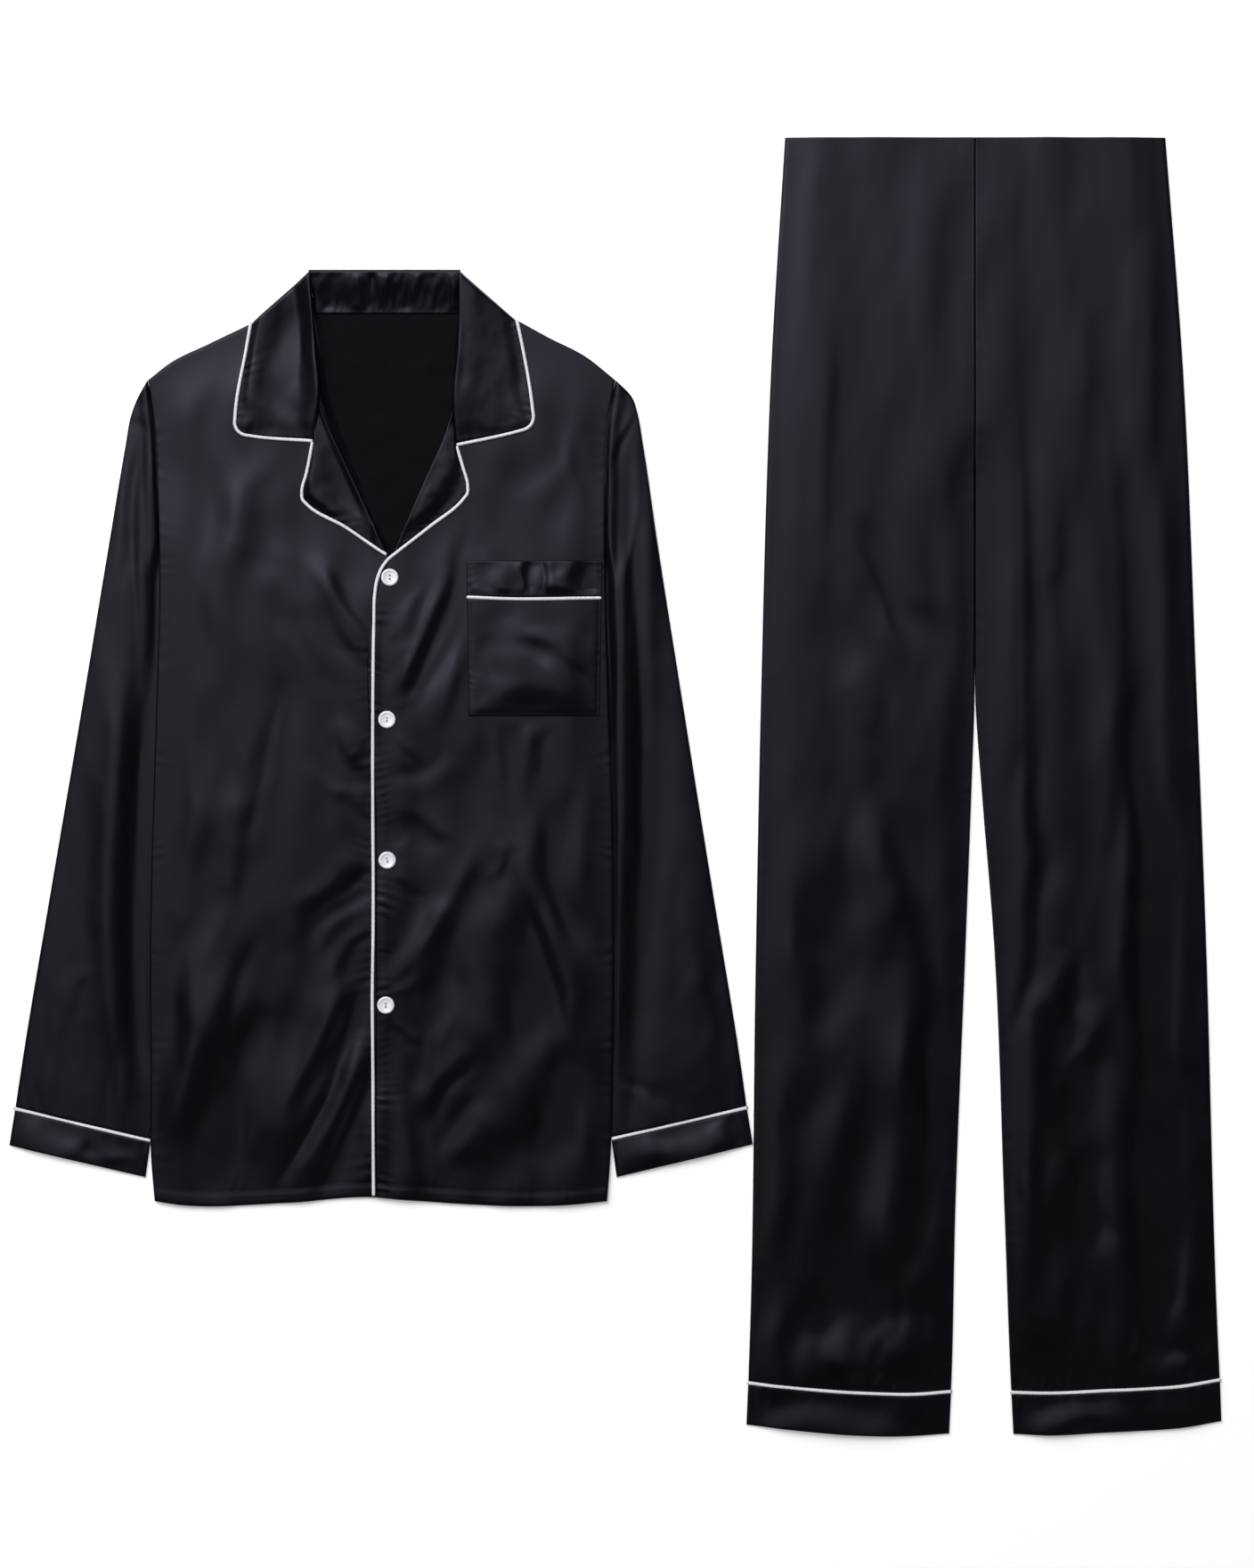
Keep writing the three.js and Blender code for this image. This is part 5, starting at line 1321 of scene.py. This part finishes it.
def make_leg_front(side):
    seed = LEG_SEED[side]
    x, y = leg_rows(side, leg_share(side, LEG_BAND + 2 * PIPING), 1, 2.7, stops(LEG_WIDTH, 2.5))
    minus, plus, low, high = edge_distances(x, y)
    outer, inner = (minus, plus) if side == "right" else (plus, minus)
    z = leg_top(side)(x, y)
    z = z + puckers(low, x, 0.5, 8.6, 13, seed) * ease(outer / 8) * ease(inner / 8)
    z = z + puckers(inner, y, 0.12, 12, 6, seed + 1) + puckers(outer, y, 0.1, 15, 7, seed + 2)
    z = z + puckers(high, x, 0.1, 6.5, 6, seed + 3)
    z = 0.8 + (z - 0.8) * rounded(outer, 2.4)
    # Above the fork the legs meet in a seam. Below it they part, and each rolls down to the table.
    legs_part = ease((FORK_Y - y) / 12)
    z = turned_down(z, inner, 0.6 + (z - 0.6 - 0.8) * legs_part, 1.3)
    z = turned_down(turned_down(z, low, 0.8, 1.4), high, 1.4, 1.4)
    z = z - 0.25 * np.exp(-(((high - 3.2) / 0.8) ** 2))
    z = np.maximum(z, 0.75)
    piece = piece_from("trouser_front_" + side + "_panel", grid_of(x, y, z, TROUSERS_AT), SATIN)
    give_wall(piece)
    lay_flat("trouser_front_" + side)


def make_leg_back(side):
    x, y = leg_rows(side, leg_share(side, LEG_BAND + 2 * PIPING), 1, 7, stops(LEG_WIDTH, 7, (0.6, 1.4)))
    minus, plus = edge_distances(x, y)[:2]
    inner = ease(np.minimum(minus, plus) / 12)
    z = 0.75 + 0.15 * inner * (1 + np.sin(x / 9) * np.sin(y / 31))
    piece = piece_from("trouser_back_" + side + "_panel", grid_of(x, y, z, TROUSERS_AT), SATIN)
    give_wall(piece)
    lay_flat("trouser_back_" + side)


def make_leg_band(side):
    """The turned band, a tube, with the ring of piping in its seam."""
    leg = LEGS[side]
    top = leg_top(side)
    seam = leg_share(side, LEG_BAND)

    def band_plan(across):
        return leg_rows(side, 0, seam - leg_share(side, 0.1), 1.6, across)

    places = flat_tube(band_plan, lambda x, y: top(x, y, False), 2.2, 132)
    x, y, girth = places[0], places[1], places[3]
    low, high = edge_distances(x, y)[2:]
    gathers = puckers(high, girth, 0.5, 9.2, 9, LEG_SEED[side] + 5)
    ends = ((high, 0.8, 1.2), (low, 0.6, 1.3))
    tube_from("leg_hem_band_" + side, "leg_band_" + side, TROUSERS_AT, places, gathers, ends)
    across = fold_to_fold(140)
    share = (seam + leg_share(side, LEG_BAND + 2 * PIPING)) / 2
    x, y = stretched(leg["low"], leg["high"], leg["minus"], leg["plus"], across, np.array([0, share, 1]))
    x, y = x[1], y[1]
    heights = evened(top(x, y, False), 8)
    ring_of_piping("leg_piping_ring_" + side, "leg_piping_" + side, TROUSERS_AT, x, y, across, heights)


def make_hem_stitches(fronts):
    """The stitched line of the jacket's turned hem."""
    line = [(float(x), float(HEM_AT(x) + (HEM_TURN + 0.2))) for x in np.linspace(-182, 180, 120)]
    places = along_line(line, 1.5)
    heights = evened([top_at(fronts, JACKET_AT, x, y, 2.3) for x, y in places], 1)
    shape = bmesh.new()
    stitches_along(shape, [(x + JACKET_AT[0], y + JACKET_AT[1], z) for (x, y), z in zip(places, heights)])
    piece_from("hem_stitches", shape, BLACK_THREAD)


def make_pocket_stitches(trees):
    """The pocket's sewing, straight from corner to corner and open at its piping."""
    right, left = POCKET["right"] + POCKET_SEWN, POCKET["left"] - POCKET_SEWN
    above, below = POCKET["piping"] + 3, POCKET["piping"] - 3
    taper = POCKET["taper"]
    low = POCKET["bottom"] + POCKET_SEWN
    rows = (
        [(right, POCKET["top"] - 1), (right + 0.4, above)],
        [(left, POCKET["top"] - 1), (left - 0.4, above)],
        [(right + 0.4, below), (right + taper, low), (left - taper, low), (left - 0.4, below)],
    )
    shape = bmesh.new()
    for row in rows:
        for (x1, y1), (x2, y2) in zip(row, row[1:]):
            count = max(2, round(math.hypot(x2 - x1, y2 - y1) / 1.5))
            spots = []
            for k in range(count + 1):
                x = x1 + (x2 - x1) * k / count
                y = y1 + (y2 - y1) * k / count
                spots.append((x + JACKET_AT[0], y + JACKET_AT[1], top_at(trees, JACKET_AT, x, y, 6)))
            stitches_along(shape, spots, 2.7, 1.9, 0.36)
    piece_from("pocket_stitches", shape, BLACK_THREAD)


def make_jacket():
    make_back()
    fronts = [surface_of(piece) for piece in [make_front(side) for side in SIDES]]
    for side in SIDES:
        make_sleeve(side)
        make_cuff(side)
    for side in SIDES:
        make_lapel(side)
    make_collar()
    make_jacket_piping(fronts)
    pocket = make_pocket()
    for number, (x, y) in enumerate(BUTTONS, 1):
        make_button(number, x, y, top_at(fronts, JACKET_AT, x, y, 5, 5.5) + 0.1)
    make_hem_stitches(fronts)
    make_pocket_stitches(pocket)


def make_trousers():
    for side in SIDES:
        make_leg_front(side)
        make_leg_back(side)
        make_leg_band(side)


# Table, light and camera.


def make_table():
    """A seamless shooting table of frosted white acrylic, lit softly from beneath."""
    glow = {"Emission_Color": linear("#ffffff"), "Emission_Strength": TABLE_GLOW}
    finish, tree, shader = new_finish(
        "white acrylic sheet, frosted", Roughness=0.9, Specular_IOR_Level=0.1, **glow
    )
    places = [("Vector", add_node(tree, "ShaderNodeTexCoord").outputs["Object"])]
    grit = add_node(tree, "ShaderNodeTexNoise", places, Scale=900.0, Detail=1.0)  # 1 mm
    tone = add_node(tree, "ShaderNodeValToRGB", [("Fac", grit.outputs["Fac"])])
    tone.color_ramp.elements[0].color = linear("#f3f3f4")
    tone.color_ramp.elements[1].color = linear("#fafafa")
    tree.links.new(tone.outputs["Color"], shader.inputs["Base Color"])
    shape = bmesh.new()
    bmesh.ops.create_grid(shape, x_segments=2, y_segments=2, size=14)
    object_from("table_top", shape, finish)


def add_softbox(name, place, size, power):
    """A softbox aimed at the middle of the set."""
    light = bpy.data.lights.new(name, "AREA")
    light.shape = "RECTANGLE"
    light.size, light.size_y = size
    light.energy = power
    lamp = bpy.data.objects.new(name, light)
    lamp.location = place
    lamp.rotation_euler = (-Vector(place)).to_track_quat("-Z", "Y").to_euler()
    bpy.context.scene.collection.objects.link(lamp)


def make_light():
    world = bpy.data.worlds.new("studio")
    bpy.context.scene.world = world
    world.use_nodes = True
    background = world.node_tree.nodes["Background"]
    background.inputs["Color"].default_value = linear("#eef0f6")
    background.inputs["Strength"].default_value = WORLD_LIGHT
    for softbox in SOFTBOXES:
        add_softbox(*softbox)
    view = bpy.context.scene.view_settings
    view.view_transform = "Standard"
    view.look = "None"


def make_camera():
    """Straight above the set, with the photograph's frame."""
    lens = bpy.data.cameras.new("straight down")
    lens.sensor_fit = "HORIZONTAL"
    lens.sensor_width = 36
    lens.lens = 100
    width = PHOTO[0] * PIXEL * MM
    camera = bpy.data.objects.new("straight down", lens)
    camera.location = (*VIEW_MIDDLE, CLOTH_HEIGHT + width * lens.lens / lens.sensor_width)
    bpy.context.scene.collection.objects.link(camera)
    bpy.context.scene.camera = camera


WORLD_LIGHT = 0.08
TABLE_GLOW = 0.19
# Name, place and size in metres, and watts. The overhead ones reach just past the middle of the set, so that
# slopes towards the upper left shine and the others stay dark. The fill is weak for the same reason.
SOFTBOXES = (
    ("overhead, wide", (-1.0, 1.88, 4.5), (5.6, 5.2), 138),
    ("overhead, core", (-1.18, 2.2, 3.86), (2.6, 2.0), 98),
    ("side, upper left", (-2.9, 3.3, 2.3), (1.9, 1.9), 88),
    ("fill, lower right", (2.6, -2.9, 2.1), (3.0, 2.4), 26),
)
VIEW_MIDDLE = (0.0094, 0.0022)  # middle of the photograph's frame, from the set's middle, in metres
CLOTH_HEIGHT = 0.004  # the photograph's scale holds at this height above the table, in metres

make_camera()
make_table()
make_light()
make_trousers()
make_jacket()
